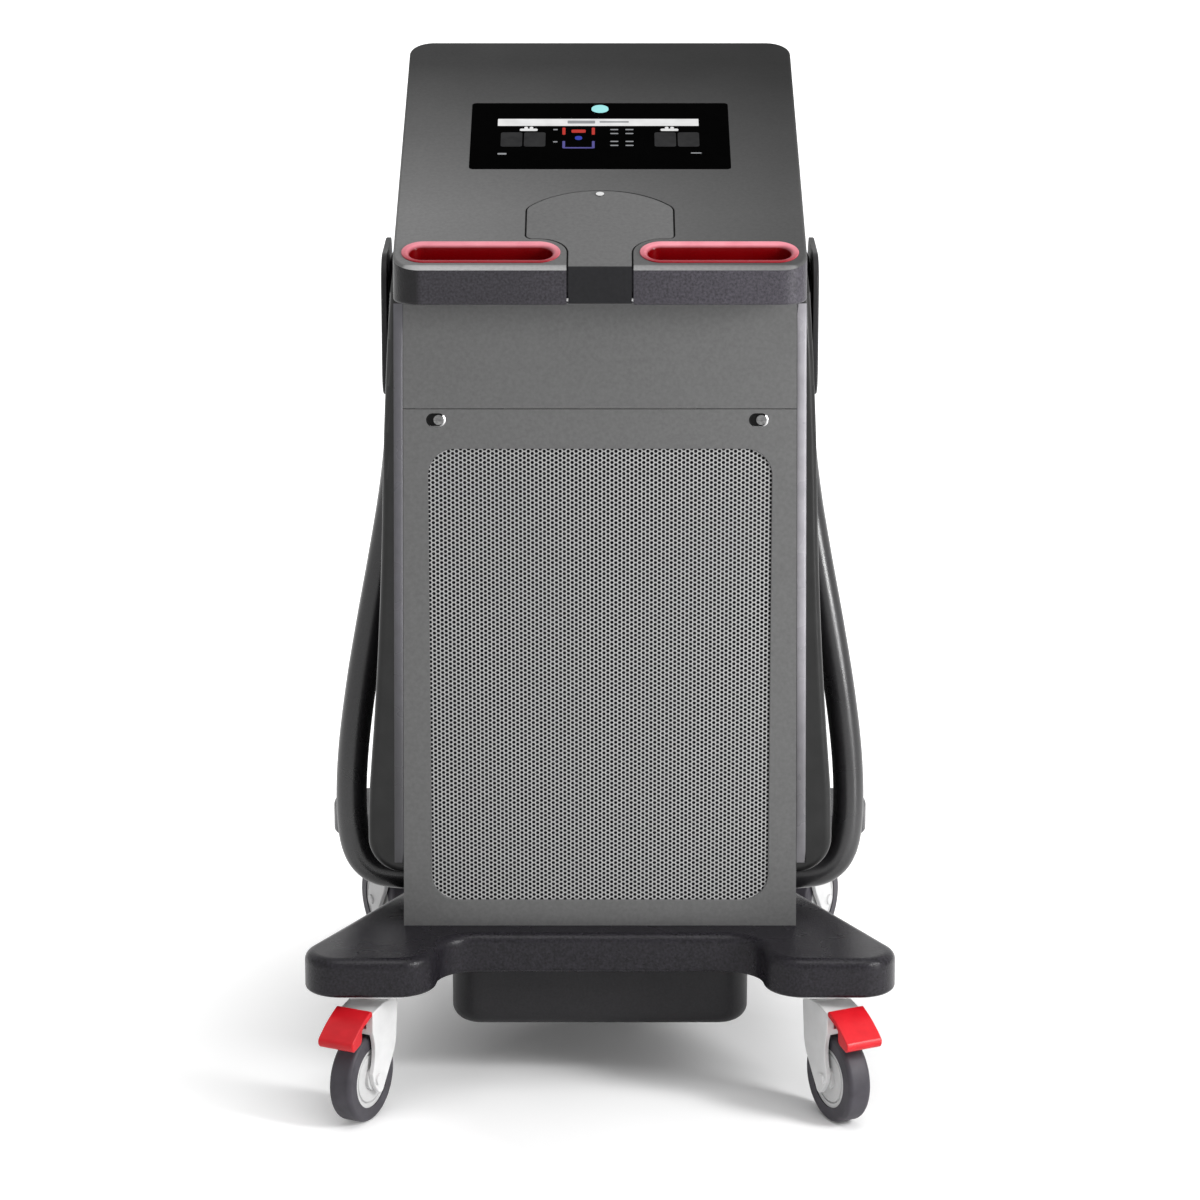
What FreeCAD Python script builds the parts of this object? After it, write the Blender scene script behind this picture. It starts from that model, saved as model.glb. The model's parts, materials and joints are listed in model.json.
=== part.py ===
import FreeCAD, Part
import math
import os
import re
import Sketcher
from FreeCAD import Placement, Rotation, Vector

# Floor-standing hot and cold therapy cart, millimetres, +Z up, front towards -Y.
# The origin is on the floor, under the middle of the cart.

SIZES = {
    # deck on the casters
    "deck_width": 650,          # across the toes
    "deck_depth": 641,          # front toe to rear toe
    "deck_bottom": 145,         # height of its underside over the floor
    "deck_thick": 44,
    "deck_edge": 11,            # rounding of its top edge
    "deck_under_edge": 5,
    "toe_reach": 102,           # how far a toe stands out past the waist
    "toe_round": 40,            # plan radius of a toe's outer corner
    "toe_lean": 27,             # angle of a toe's outer side, degrees
    "toe_flat": 100,            # from a toe's outer side to the end of its straight front
    "toe_sway": 90,             # width of the curve from there to the recess
    "recess_deep": 85,          # how far the front sits back between the toes
    "waist_round": 70,
    # tub under the deck
    "tub_width": 333,
    "tub_depth": 391,
    "tub_bottom": 66,
    "tub_round": 34,
    "tub_edge": 18,
    "tub_wall": 3,
    # casters
    "caster_inset_x": 78,       # from a toe's outer side in to the swivel
    "caster_inset_y": 46,
    "caster_turn": 27,          # how far the wheels trail outwards, degrees
    "caster_trail": 35,
    "wheel_radius": 50,
    "tyre_width": 27,
    "tyre_round": 5,
    "tyre_inner": 34,           # radius under the tyre
    "hub_width": 24,
    "hub_ring": 27,             # inner radius of the groove in the hub's face
    "hub_ring_wide": 2.4,
    "hub_ring_deep": 2.5,
    "hub_boss": 13,
    "axle_radius": 6,
    "axle_end": 2.5,            # how far the axle bolt stands out of each cheek
    "running_gap": 0.05,        # radial play of every shaft in its hole
    "fork_width": 42,
    "fork_slot": 32,            # width of the room for the wheel
    "fork_top": 134,
    "fork_back": 10,            # how far the crown reaches behind the swivel
    "fork_front": 45,
    "fork_edge": 1.2,
    "crown_round": 8,
    "crown_lip": 106,           # height of the crown's lower front corner
    "strap_start": 22,          # where the crown's top starts to slope down to the front
    "strap_drop": 5,
    "waist_back": 7,            # rear edge of a cheek behind the swivel, at the waist
    "waist_high": 90,
    "calf_lead": 1.5,           # and ahead of it further down
    "calf_high": 66,
    "calf_round": 50,
    "heel_back": 12,            # rear end of a cheek's foot behind the axle
    "heel_drop": 15.5,          # below the axle
    "sole_back": 3,
    "sole_drop": 17,
    "sole_round": 6,
    "foot_lead": 11,            # a cheek's front edge ahead of the axle
    "foot_rise": 8,
    "foot_round": 40,
    "shin_round": 55,           # hollow of a cheek's front edge
    "wheel_room": 54,           # radius of the arch over the wheel
    "swivel_radius": 20,
    "swivel_gap": 0.4,
    "swivel_seat": 10,          # how far the swivel head is sunk in the crown
    "kingpin_radius": 8,
    "kingpin_grip": 16,         # length of the kingpin inside the crown
    "caster_plate": 66,
    "caster_plate_thick": 4,
    "caster_plate_round": 8,
    "pedal_width": 44,
    "pedal_tongue": 24,
    "pedal_gap": 0.6,
    "pedal_eye": 7,             # radius round the pedal's pin
    "pedal_pin": 3,             # radius
    "pedal_pin_reach": 39,      # ahead of the swivel
    "pedal_pin_high": 119,
    "pedal_pin_sunk": 2,        # from each cheek's outer face to the pin's end
    "pedal_start": 47,          # rear end of the pad, ahead of the swivel
    "pedal_reach": 92,
    "pedal_low": 98,
    "pedal_high": 133,
    "pedal_edge": 3,
    "pedal_bow": 140,           # radius of the pad's upper face
    "pedal_brow": 6,            # thickness of the pad's rear end
    "pedal_tip_high": 109,
    "pedal_tip_round": 7,
    "pedal_tip_back": 2,        # from the pad's front to the end of its bow
    "pedal_sole_back": 5,       # and to its lowest corner
    "pedal_sole_rise": 4,
    "pedal_neck_step": 7,
    "pedal_heel": 70,           # where the thick end of the pad starts
    "pedal_heel_high": 108,
    "pedal_heel_round": 8,
    "pedal_neck_high": 114,
    # body
    "front_y": 202.5,           # the front face is this far ahead of the origin
    "rear_y": 276.5,            # rear edge of the console
    "wall_y": 232,              # rear wall of the cabinet
    "sheet_thick": 2,           # folded sheet of the cabinet
    "side_half": 202.5,         # outer face of the recessed side walls
    "front_half_top": 212,      # half width of the front at the handle bar
    "front_half_base": 219,     # and at the deck
    "seam": 779.7,              # height of the seam under the upper band
    "seam_gap": 0.6,
    "fit_gap": 0.3,
    "grille_width": 374,
    "grille_low": 219,
    "grille_high": 735.3,
    "grille_round": 30,
    "grille_lap": 9,            # how far the mesh reaches behind the frame
    "grille_thick": 1.2,
    "latch_x": 175,
    "latch_drop": 12.2,         # below the seam
    "latch_radius": 4.5,
    "latch_head": 5.5,          # radius
    "latch_slot": 1.6,
    "latch_slot_deep": 0.8,
    "latch_well_long": 20,
    "latch_well_wide": 14,
    "latch_well_deep": 1.2,
    "latch_well_shift": 3,      # the well's middle is this far left of the head's
    "latch_cam": 20,
    "latch_cam_wide": 9,
    "latch_cam_thick": 2.5,
    "sheet_edge": 0.8,          # rounding of the front sheets' edges
    # side covers
    "cover_rear": 95.5,         # its rear edge is this far ahead of the origin
    "cover_low": 250,
    "cover_curl": 40,           # radius of the rounding below the belly
    "cover_reach_belly": 257.5,  # from the middle of the cart
    "cover_thigh": 370,
    "cover_reach_thigh": 254.1,
    "cover_thigh_round": 940,
    "cover_chest": 650,
    "cover_reach_chest": 238,
    "cover_waist_round": 5090,
    "cover_chest_round": 5360,
    "cover_high": 945,
    "cover_reach_high": 223.5,
    "cover_wall": 3.2,
    "cover_front_round": 8,
    "cover_rear_round": 18,
    "cover_rib": 12,            # thickness behind the cover's hollow
    "cover_top_gap": 0.5,
    # console
    "console_width": 442,
    "console_front": 262.5,     # ahead of the origin
    "bar_low": 906,             # underside of the handle bar
    "bar_high": 947,            # top of its front edge
    "console_slope": 17,
    "console_round": 28,
    "console_edge": 3,
    "skin": 3.3,
    "slot_x": 127.3,
    "slot_s": 33.8,             # middle of a hand slot, up the slope from the front
    "slot_long": 170,
    "slot_wide": 48,
    "slot_rim": 6,              # width of the red rim
    "slot_rim_high": 1.2,
    "slot_rim_round": 5,        # rounding of the rim into the slot
    "slot_rim_edge": 0.9,
    "slot_wall": 3,
    "ledge_wide": 5,            # rim of the skin under the glass, beyond the glass
    # lid
    "lid_web": 6.6,             # strip left between slot and lid
    "lid_gap": 2,
    "lid_thick": 3,
    "lid_half": 79,
    "lid_apex": 178.8,
    "lid_arc": 96,
    "lid_shoulder": 18,
    "lid_heel": 7,
    "lip_thick": 3.5,
    "lip_room": 3,              # behind and above the lip and its knuckle
    "lip_root": 2,              # how far the lip's top runs on behind it
    "lip_root_drop": 3,
    "knuckle": 5,               # radius round the hinge pin
    "hinge_pin": 2,
    "hinge_pin_play": 0.02,
    "hinge_pin_end": 8,
    "catch_radius": 4.5,
    "catch_inset": 9,
    "catch_high": 1.2,
    # display
    "glass_width": 289.5,
    "glass_low": 232,           # up the slope
    "glass_high": 399.3,
    "glass_thick": 3,
    "glass_round": 5,
    "glass_ledge": 8,
    "ledge_thick": 5,
    "module_thick": 24,
    "module_gap": 1,            # round the display module and the button's flange
    "button_radius": 9.6,
    "button_drop": 15.2,        # below the glass's upper edge
    "button_gap": 0.4,
    "button_travel": 1.2,
    "button_proud": 0.5,
    "button_flange": 12,
    "button_flange_thick": 1.5,
    # hose hooks and hoses
    "hose_radius": 17.5,
    "hook_y": 94.5,
    "hook_z": 810,
    "drum_radius": 58,
    "drum_wall": 4,
    "drum_below": 22,
    "hook_room": 38,            # between side wall and outer plate
    "hook_plate": 6,
    "hook_plate_depth": 160,
    "hook_plate_high": 163,
    "hook_plate_top": 95,       # above the drum's middle
    "hook_plate_round": 34,
    "hook_plate_edge": 2,
    "hose_rest": 0.5,           # between a hose and the drum it lies on
    "hose_wall_gap": 1.5,       # between a hose and the side wall
    "port_y": 90,               # ahead of the origin
    "port_z": 213,
    "port_flange": 24,
    "port_flange_thick": 4,
    "port_stub": 11.5,          # how far the gland stands out of the side wall
    "port_hole": 20,
    "connector_length": 78,
    "connector_x": 34,
    "connector_y": 46,
    "connector_round": 12,
    "connector_edge": 2.5,
    "nozzle_radius": 6,
    "nozzle_length": 16,
    "nozzle_spread": 10,
    # rear
    "vent_width": 250,
    "vent_high": 6,
    "vent_pitch": 16,
    "vent_count": 12,
    "vent_low": 640,
    "module_x": 112,            # middle of the mains module
    "module_z": 280,
    "module_wide": 88,
    "module_high": 38,
    "module_deep": 28,
    "module_lip": 2,
    "module_rim": 4,            # flange beyond the hole in the wall
    "module_round": 3,
    "socket_off": 20,
    "socket_wide": 36,
    "socket_high": 20,
    "socket_deep": 18,
    "socket_round": 4,
    "switch_off": 26,
    "switch_wide": 16,
    "switch_high": 24,
    "switch_gap": 0.6,
    "switch_round": 1,
    "switch_axle": 1.5,
    "switch_axle_deep": 3,      # behind the wall's outer face
    "switch_axle_end": 2,       # how far the axle runs into each side of the well
    "switch_deep": 6,           # the rocker behind the wall's outer face
    "switch_taper": 3,
    "switch_brow": 0.5,
    "switch_horn": 5,           # the rocker's two ends ahead of the wall's outer face
    "switch_dip": 2.8,
    # machinery
    "shelf_z": 600,
    "shelf_setback": 22,        # behind the front panel
    "pipe_hole_wide": 160,
    "pipe_hole_deep": 40,
    "pipe_hole_off": 32,        # its middle ahead of the rear wall
    "pipe_hole_round": 12,
    "tank_half": 105,
    "tank_front": 186,
    "tank_depth": 176,
    "tank_high": 232,
    "tank_wall": 4,
    "tank_round": 14,
    "neck_y": 148,              # ahead of the origin
    "neck_radius": 36,
    "neck_wall": 4,
    "basin_drop": 28,           # basin floor under the console's skin
    "basin_half": 70,
    "basin_depth": 84,
    "basin_wall": 2.5,
    "basin_round": 10,
    "hot_radius": 52,
    "hot_high": 210,
    "hot_shoulder": 30,
    "hot_neck": 14,
    "hot_neck_high": 10,
    "hot_x": 130,
    "hot_y": 110,
    "pump_radius": 26,
    "pump_motor": 21,           # radius
    "pump_base_high": 6,
    "pump_motor_high": 58,
    "pump_head_high": 22,
    "pump_spout": 6,            # radius
    "pump_spout_reach": 44,
    "pump_x": 135,
    "pump_y": 70,
    "pump_pitch": 95,
    "manifold_length": 130,
    "manifold_wide": 44,
    "manifold_high": 50,
    "manifold_round": 4,
    "manifold_y": 150,
    "valve_radius": 13,
    "valve_high": 34,
    "valve_inset": 20,          # from the block's end to the first valve
    "valve_count": 4,
    "coil_width": 320,
    "coil_high": 330,
    "coil_deep": 28,
    "coil_frame": 8,
    "coil_front": 188,          # ahead of the origin
    "fin_groove": 4,
    "fin_deep": 3,
    "fin_start": 12,
    "fin_count": 16,
    "fan_radius": 118,
    "fan_tip_gap": 4,
    "fan_z": 372,
    "fan_y": 128,
    "fan_hub": 34,
    "fan_deep": 20,
    "fan_hub_gap": 2,
    "fan_hub_step": 3,
    "fan_shaft": 4,
    "blade_root": 6,            # how far a blade is sunk in the hub
    "blade_sweep": 24,
    "blade_thick": 2,
    "blade_count": 5,
    "shroud_width": 300,
    "shroud_high": 336,
    "shroud_deep": 26,
    "spoke_wide": 14,
    "spoke_thick": 4,
    "spoke_seat": 8,            # how far a spoke runs into the shroud
    "fan_motor_deep": 26,
    "compressor_radius": 62,
    "compressor_high": 165,
    "compressor_low_round": 24,
    "compressor_top_round": 40,
    "compressor_x": 90,
    "compressor_y": 40,
    "foot_radius": 12,
    "foot_inset": 14,
    "foot_high": 14,
    "foot_sunk": 30,
    "foot_count": 3,
    "air_pump_wide": 110,
    "air_pump_deep": 150,
    "air_pump_high": 96,
    "air_pump_round": 10,
    "air_head": 26,             # radius
    "air_head_high": 24,
    "supply_wide": 170,
    "supply_deep": 90,
    "supply_high": 62,
    "supply_x": 60,
    "supply_back": 70,          # its middle ahead of the rear wall
    "supply_slit": 4,
    "supply_slit_deep": 2,
    "supply_slit_inset": 14,
    "supply_slit_pitch": 10,
    "supply_slit_count": 7,
    "board_width": 240,
    "board_high": 150,
    "board_z": 905,
    "board_off": 12,
    "board_thick": 1.8,
    "board_round": 3,
    "board_post": 4,            # radius
    "board_post_inset": 8,
    "chip_wide": 60,
    "chip_high": 40,
    "chip_thick": 8,
    "chip_round": 2,
    # cutting
    "beyond": 5,                # how far a cut starts outside what it cuts
    "far_beyond": 60,
}

doc = FreeCAD.newDocument("TherapyCart")
sheet = doc.addObject("Spreadsheet::Sheet", "Sizes")
for row, (alias, value) in enumerate(SIZES.items(), start=1):
    sheet.set(f"A{row}", alias)
    sheet.set(f"B{row}", str(value))
    sheet.setAlias(f"B{row}", alias)
doc.recompute()

FUNCTIONS = ("sin", "cos", "tan", "sqrt", "max", "min")
LEFT, RIGHT = 1, -1
parts = []


# ---- formulas that several sub-parts share ----

DECK_TOP = "(deck_bottom + deck_thick)"
CASTER_X = "(deck_width / 2 - caster_inset_x)"
CASTER_Y = "(deck_depth / 2 - caster_inset_y)"
PLATE_LOW = "(deck_bottom - caster_plate_thick)"
LATCH_Z = "(seam - latch_drop)"
SHELF_TOP = "(shelf_z + sheet_thick)"
WALL_IN = "(wall_y - sheet_thick)"
FRONT_IN = "(front_y - sheet_thick)"
RISE = "tan(console_slope)"
BEND = "cos(console_slope)"
SKIN_DROP = f"(skin / {BEND})"
SIDE_IN = "(side_half - sheet_thick)"
SLOT_Y = f"(-console_front + slot_s * {BEND})"
SLOT_END = "(slot_x - slot_long / 2 + slot_wide / 2)"
LID_NECK = "(slot_x - slot_long / 2 - lid_web - lid_gap)"
HINGE_Y = "(-console_front + knuckle)"
HINGE_Z = "(bar_low + knuckle)"
BUTTON_S = "(glass_high - button_drop)"
PIN_LENGTH = f"(2 * ({LID_NECK} + lid_gap + hinge_pin_end))"


def console_top(y):
    """Height of the console's upper face at a place y."""
    return f"(bar_high + ({y} + console_front) * {RISE})"


def console_under(y):
    """Height of the console's underside at a place y, behind the handle bar."""
    return f"(bar_low + ({y} + front_y) * {RISE})"


def front_half(z):
    """Half width of the front face at a height z."""
    return (f"(front_half_base + (front_half_top - front_half_base)"
            f" * ({z} - {DECK_TOP}) / (bar_low - {DECK_TOP}))")


# ---- helpers ----

def size(formula):
    """A formula of the sheet's cells as a plain number."""
    return float(sheet.evalExpression(str(formula)))


def bound(formula):
    """The formula with the sheet's name before each of its cells."""
    def name_cell(word):
        return word.group() if word.group() in FUNCTIONS else "Sizes." + word.group()
    return re.sub(r"[a-z_]\w*", name_cell, str(formula))


def bind(thing, place, formula):
    thing.setExpression(place, bound(formula))


def new_body(name, x="0", y="0", z="0"):
    body = doc.addObject("PartDesign::Body", name)
    body.Label = name
    for axis, formula in zip("xyz", (x, y, z)):
        bind(body, f".Placement.Base.{axis}", formula)
    parts.append(body)
    return body


def plane_of(body, role):
    return next(item for item in body.Origin.OriginFeatures if item.Role == role)


def sketch_on(body, role, lift="0"):
    """A sketch on one of the body's own origin planes, lifted along the plane's normal."""
    sketch = body.newObject("Sketcher::SketchObject", body.Name + "_sketch")
    sketch.AttachmentSupport = [(plane_of(body, role), "")]
    sketch.MapMode = "FlatFace"
    bind(sketch, ".AttachmentOffset.Base.z", lift)
    return sketch


def slope_sketch(body, lift="0"):
    """A sketch in the plane of the console's top, with its y running up the slope."""
    sketch = sketch_on(body, "XY_Plane")
    sketch.AttachmentOffset = Placement(Vector(), Rotation(Vector(1, 0, 0), 1))
    bind(sketch, ".AttachmentOffset.Base.y", f"-console_front - ({lift}) * sin(console_slope)")
    bind(sketch, ".AttachmentOffset.Base.z", f"bar_high + ({lift}) * {BEND}")
    bind(sketch, ".AttachmentOffset.Rotation.Angle", "console_slope")
    return sketch


def hold(sketch, kind, name, formula, *ends):
    """One named dimension of a sketch, bound to a formula."""
    index = sketch.addConstraint(Sketcher.Constraint(kind, *ends, size(formula)))
    sketch.renameConstraint(index, name)
    bind(sketch, "Constraints." + name, formula)


def arc_between(start, end, radius, side):
    """The short arc from start to end that turns to the given side."""
    chord = end - start
    across = Vector(-chord.y, chord.x, 0).normalize() * side
    rise = math.sqrt(max(radius ** 2 - (chord.Length / 2) ** 2, 0))
    centre = (start + end) / 2 + across * rise
    first, last = (start, end) if side == LEFT else (end, start)
    angles = [math.atan2(spot.y - centre.y, spot.x - centre.x) for spot in (first, last)]
    if angles[1] < angles[0]:
        angles[1] += 2 * math.pi
    return Part.ArcOfCircle(Part.Circle(centre, Vector(0, 0, 1), radius), *angles)


def outline(sketch, corners):
    """A closed loop. A corner is (x, y) at the end of a line, or (x, y, radius, side)
    at the end of an arc that turns to that side."""
    first = sketch.GeometryCount
    spots = [Vector(size(corner[0]), size(corner[1]), 0) for corner in corners]
    ends = []
    for index, corner in enumerate(corners):
        start, end = spots[index - 1], spots[index]
        if len(corner) == 2:
            sketch.addGeometry(Part.LineSegment(start, end))
            ends.append((1, 2))
        else:
            sketch.addGeometry(arc_between(start, end, size(corner[2]), corner[3]))
            ends.append((1, 2) if corner[3] == LEFT else (2, 1))
    for index, corner in enumerate(corners):
        edge, following = first + index, (index + 1) % len(corners)
        link = (edge, ends[index][1], first + following, ends[following][0])
        sketch.addConstraint(Sketcher.Constraint("Coincident", *link))
        hold(sketch, "DistanceX", f"x{edge}", corner[0], -1, 1, edge, ends[index][1])
        hold(sketch, "DistanceY", f"y{edge}", corner[1], -1, 1, edge, ends[index][1])
        if len(corner) > 2:
            hold(sketch, "Radius", f"r{edge}", corner[2], edge)
    return sketch


def disc(sketch, x, y, radius):
    """A circle held by its centre and radius."""
    circle = Part.Circle(Vector(size(x), size(y), 0), Vector(0, 0, 1), size(radius))
    edge = sketch.addGeometry(circle)
    hold(sketch, "DistanceX", f"x{edge}", x, -1, 1, edge, 3)
    hold(sketch, "DistanceY", f"y{edge}", y, -1, 1, edge, 3)
    hold(sketch, "Radius", f"r{edge}", radius, edge)
    return sketch


def box_corners(left, right, low, high):
    return [(right, low), (right, high), (left, high), (left, low)]


def rounded(x, y, width, height, radius):
    """Corners of a rectangle with rounded corners about a middle."""
    left, right = f"({x} - ({width}) / 2)", f"({x} + ({width}) / 2)"
    low, high = f"({y} - ({height}) / 2)", f"({y} + ({height}) / 2)"
    return [(f"{right} - {radius}", low), (right, f"{low} + {radius}", radius, LEFT),
            (right, f"{high} - {radius}"), (f"{right} - {radius}", high, radius, LEFT),
            (f"{left} + {radius}", high), (left, f"{high} - {radius}", radius, LEFT),
            (left, f"{low} + {radius}"), (f"{left} + {radius}", low, radius, LEFT)]


def stadium(x, y, length, width):
    """Corners of a slot with round ends about a middle."""
    radius = f"(({width}) / 2)"
    right, left = f"({x} + ({length}) / 2)", f"({x} - ({length}) / 2)"
    return [(f"{right} - {radius}", f"{y} - {radius}"), (right, y, radius, LEFT),
            (f"{right} - {radius}", f"{y} + {radius}", radius, LEFT),
            (f"{left} + {radius}", f"{y} + {radius}"), (left, y, radius, LEFT),
            (f"{left} + {radius}", f"{y} - {radius}", radius, LEFT)]


def grow(body, kind, sketch, length, both_ways, reverse):
    feature = body.newObject("PartDesign::" + kind, f"{body.Name}_{kind.lower()}")
    feature.Profile = sketch
    bind(feature, "Length", length)
    if both_ways:
        feature.SideType = "Symmetric"
    feature.Reversed = reverse
    body.Tip = feature
    return feature


def pad(body, sketch, length, both_ways=False, reverse=False):
    return grow(body, "Pad", sketch, length, both_ways, reverse)


def pocket(body, sketch, depth, both_ways=False, reverse=False):
    return grow(body, "Pocket", sketch, depth, both_ways, reverse)


def spin(body, sketch, axis="V_Axis", kind="Revolution"):
    """A full turn of the sketch about one of its own axes."""
    feature = body.newObject("PartDesign::" + kind, f"{body.Name}_{kind.lower()}")
    feature.Profile = sketch
    feature.ReferenceAxis = (sketch, [axis])
    feature.Angle = 360
    body.Tip = feature
    return feature


def soften(body, chosen, radius, kind="Fillet"):
    """Rounds the edges of the body that the test chooses."""
    doc.recompute()
    base = body.Tip
    names = [f"Edge{number}" for number, edge in enumerate(base.Shape.Edges, start=1)
             if chosen(edge)]
    feature = body.newObject("PartDesign::" + kind, f"{body.Name}_{kind.lower()}")
    feature.Base = (base, names)
    bind(feature, "Radius" if kind == "Fillet" else "Size", radius)
    body.Tip = feature
    return feature


def at_height(z):
    """Chooses edges that lie flat at one height."""
    level = size(z)
    return lambda edge: (abs(edge.BoundBox.ZMin - level) < 0.01
                         and abs(edge.BoundBox.ZMax - level) < 0.01)


def copies(body, feature, axis, pitch, count):
    """Repeats a feature along one of the body's own axes."""
    pattern = body.newObject("PartDesign::LinearPattern", body.Name + "_pattern")
    pattern.Originals = [feature]
    pattern.Direction = (plane_of(body, axis), [""])
    bind(pattern, "Length", f"({pitch}) * (({count}) - 1)")
    bind(pattern, "Occurrences", count)
    body.Tip = pattern
    return pattern


def cut_side(body, corners):
    """Cuts a shape in the side view right through the body."""
    pocket(body, outline(sketch_on(body, "YZ_Plane"), corners), "2 * console_width", both_ways=True)


def cut_above(body, height, front, back, drop="0"):
    """Cuts away all that stands over a line in the side view, lowered by a drop."""
    cut_side(body, [(back, f"{height(back)} - {drop}"), (back, f"{height(back)} + far_beyond"),
                    (front, f"{height(back)} + far_beyond"), (front, f"{height(front)} - {drop}")])


def ring_of(body, feature, axis, count):
    """Repeats a feature round one of the body's own axes."""
    pattern = body.newObject("PartDesign::PolarPattern", body.Name + "_ring")
    pattern.Originals = [feature]
    pattern.Axis = (plane_of(body, axis), [""])
    pattern.Angle = 360
    bind(pattern, "Occurrences", count)
    body.Tip = pattern
    return pattern


def mirror_across(body, feature, role):
    mirror = body.newObject("PartDesign::Mirrored", body.Name + "_mirror")
    mirror.Originals = [feature]
    mirror.MirrorPlane = (plane_of(body, role), [""])
    body.Tip = mirror
    return mirror


def plain_part(name, shape, placement=None):
    """A sub-part whose shape is worked out directly from the sheet."""
    part = doc.addObject("Part::Feature", name)
    part.Label = name
    part.Shape = shape
    part.Placement = placement or Placement()
    parts.append(part)
    return part


def both_sides():
    return (("left", -1), ("right", 1))


# ---- deck and tub ----

def deck_quarter():
    """Plan of a quarter of the deck, from the middle of the recess to the waist."""
    front, half = "(-deck_depth / 2)", "(deck_width / 2)"
    inner, waist = f"({half} - toe_flat)", f"({half} - toe_reach)"
    sway = "(toe_sway ^ 2 + recess_deep ^ 2) / (4 * recess_deep)"
    turn_x = f"({half} - toe_round * (1 - cos(toe_lean)))"
    turn_y = f"({front} + toe_round * (1 + sin(toe_lean)))"
    waist_start = f"({waist} + waist_round * (1 - cos(toe_lean)))"
    lean_end = f"({turn_y} + ({turn_x} - {waist_start}) / tan(toe_lean))"
    return [(f"{inner} - toe_sway", f"{front} + recess_deep"),
            (f"{inner} - toe_sway / 2", f"{front} + recess_deep / 2", sway, RIGHT),
            (inner, front, sway, LEFT),
            (f"{half} - toe_round", front),
            (turn_x, turn_y, "toe_round", LEFT),
            (waist_start, lean_end),
            (waist, f"{lean_end} + waist_round * sin(toe_lean)", "waist_round", RIGHT)]


def mirrored(corners, x_sign, y_sign):
    """The same outline seen in a mirror, walked backwards when it flips only one way."""
    flipped = [(f"{x_sign} * ({x})", f"{y_sign} * ({y})", *rest) for x, y, *rest in corners]
    if x_sign == y_sign:
        return flipped
    walked = [(flipped[-1][0], flipped[-1][1])]
    for corner, nearer in zip(reversed(flipped), list(reversed(flipped))[1:]):
        walked.append((nearer[0], nearer[1], *corner[2:]))
    return walked


def make_deck():
    body = new_body("base_platform", z="deck_bottom")
    quarter = deck_quarter()
    plan = quarter + mirrored(quarter, 1, -1) + mirrored(quarter, -1, -1) + mirrored(quarter, -1, 1)
    pad(body, outline(sketch_on(body, "XY_Plane"), plan), "deck_thick")
    soften(body, at_height("deck_thick"), "deck_edge")
    soften(body, at_height("0"), "deck_under_edge")


def make_tub():
    body = new_body("under_tub", z="tub_bottom")
    height = "(deck_bottom - tub_bottom)"
    wide = rounded("0", "0", "tub_width", "tub_depth", "tub_round")
    pad(body, outline(sketch_on(body, "XY_Plane"), wide), height)
    soften(body, at_height("0"), "tub_edge")
    room = rounded("0", "0", "tub_width - 2 * tub_wall", "tub_depth - 2 * tub_wall",
                   "(tub_round - tub_wall)")
    inside = outline(sketch_on(body, "XY_Plane", height), room)
    pocket(body, inside, f"{height} - tub_edge")


# ---- casters ----

# Where each caster is, and how far it is turned from trailing straight to the front.
CASTERS = (("front_left", -1, -1, "360 - caster_turn"), ("front_right", 1, -1, "caster_turn"),
           ("rear_left", -1, 1, "180 + caster_turn"), ("rear_right", 1, 1, "180 - caster_turn"))


def caster_body(name, x, y, z, turn):
    """A body in a caster's own frame, which trails to -Y."""
    body = new_body(name, x, y, z)
    body.Placement.Rotation = Rotation(Vector(0, 0, 1), size(turn))
    bind(body, ".Placement.Rotation.Angle", turn)
    return body


def swivel_body(name, x_side, y_side, turn):
    """A body whose own origin is on the floor under the swivel."""
    return caster_body(name, f"{x_side} * {CASTER_X}", f"{y_side} * {CASTER_Y}", "0", turn)


def wheel_body(name, x_side, y_side, turn):
    """A body whose own origin is the middle of the wheel."""
    swing_x = f"{x_side} * ({CASTER_X} + caster_trail * sin(caster_turn))"
    swing_y = f"{y_side} * ({CASTER_Y} + caster_trail * cos(caster_turn))"
    return caster_body(name, swing_x, swing_y, "wheel_radius", turn)


def cheek_outline():
    """Side view of the fork: crown, sloping strap in front, and two cheeks down to the axle."""
    axle_y, axle_z = "(-caster_trail)", "wheel_radius"
    return [("waist_back", "waist_high", "calf_round", LEFT),
            ("fork_back", "fork_top - crown_round"),
            ("fork_back - crown_round", "fork_top", "crown_round", LEFT),
            ("-strap_start", "fork_top"),
            ("-fork_front", "fork_top - strap_drop"),
            ("-fork_front", "crown_lip"),
            (f"{axle_y} - foot_lead", f"{axle_z} + foot_rise", "shin_round", RIGHT),
            (f"{axle_y} + sole_back", f"{axle_z} - sole_drop", "foot_round", LEFT),
            (f"{axle_y} + heel_back", f"{axle_z} - heel_drop", "sole_round", LEFT),
            ("-calf_lead", "calf_high")]


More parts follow.
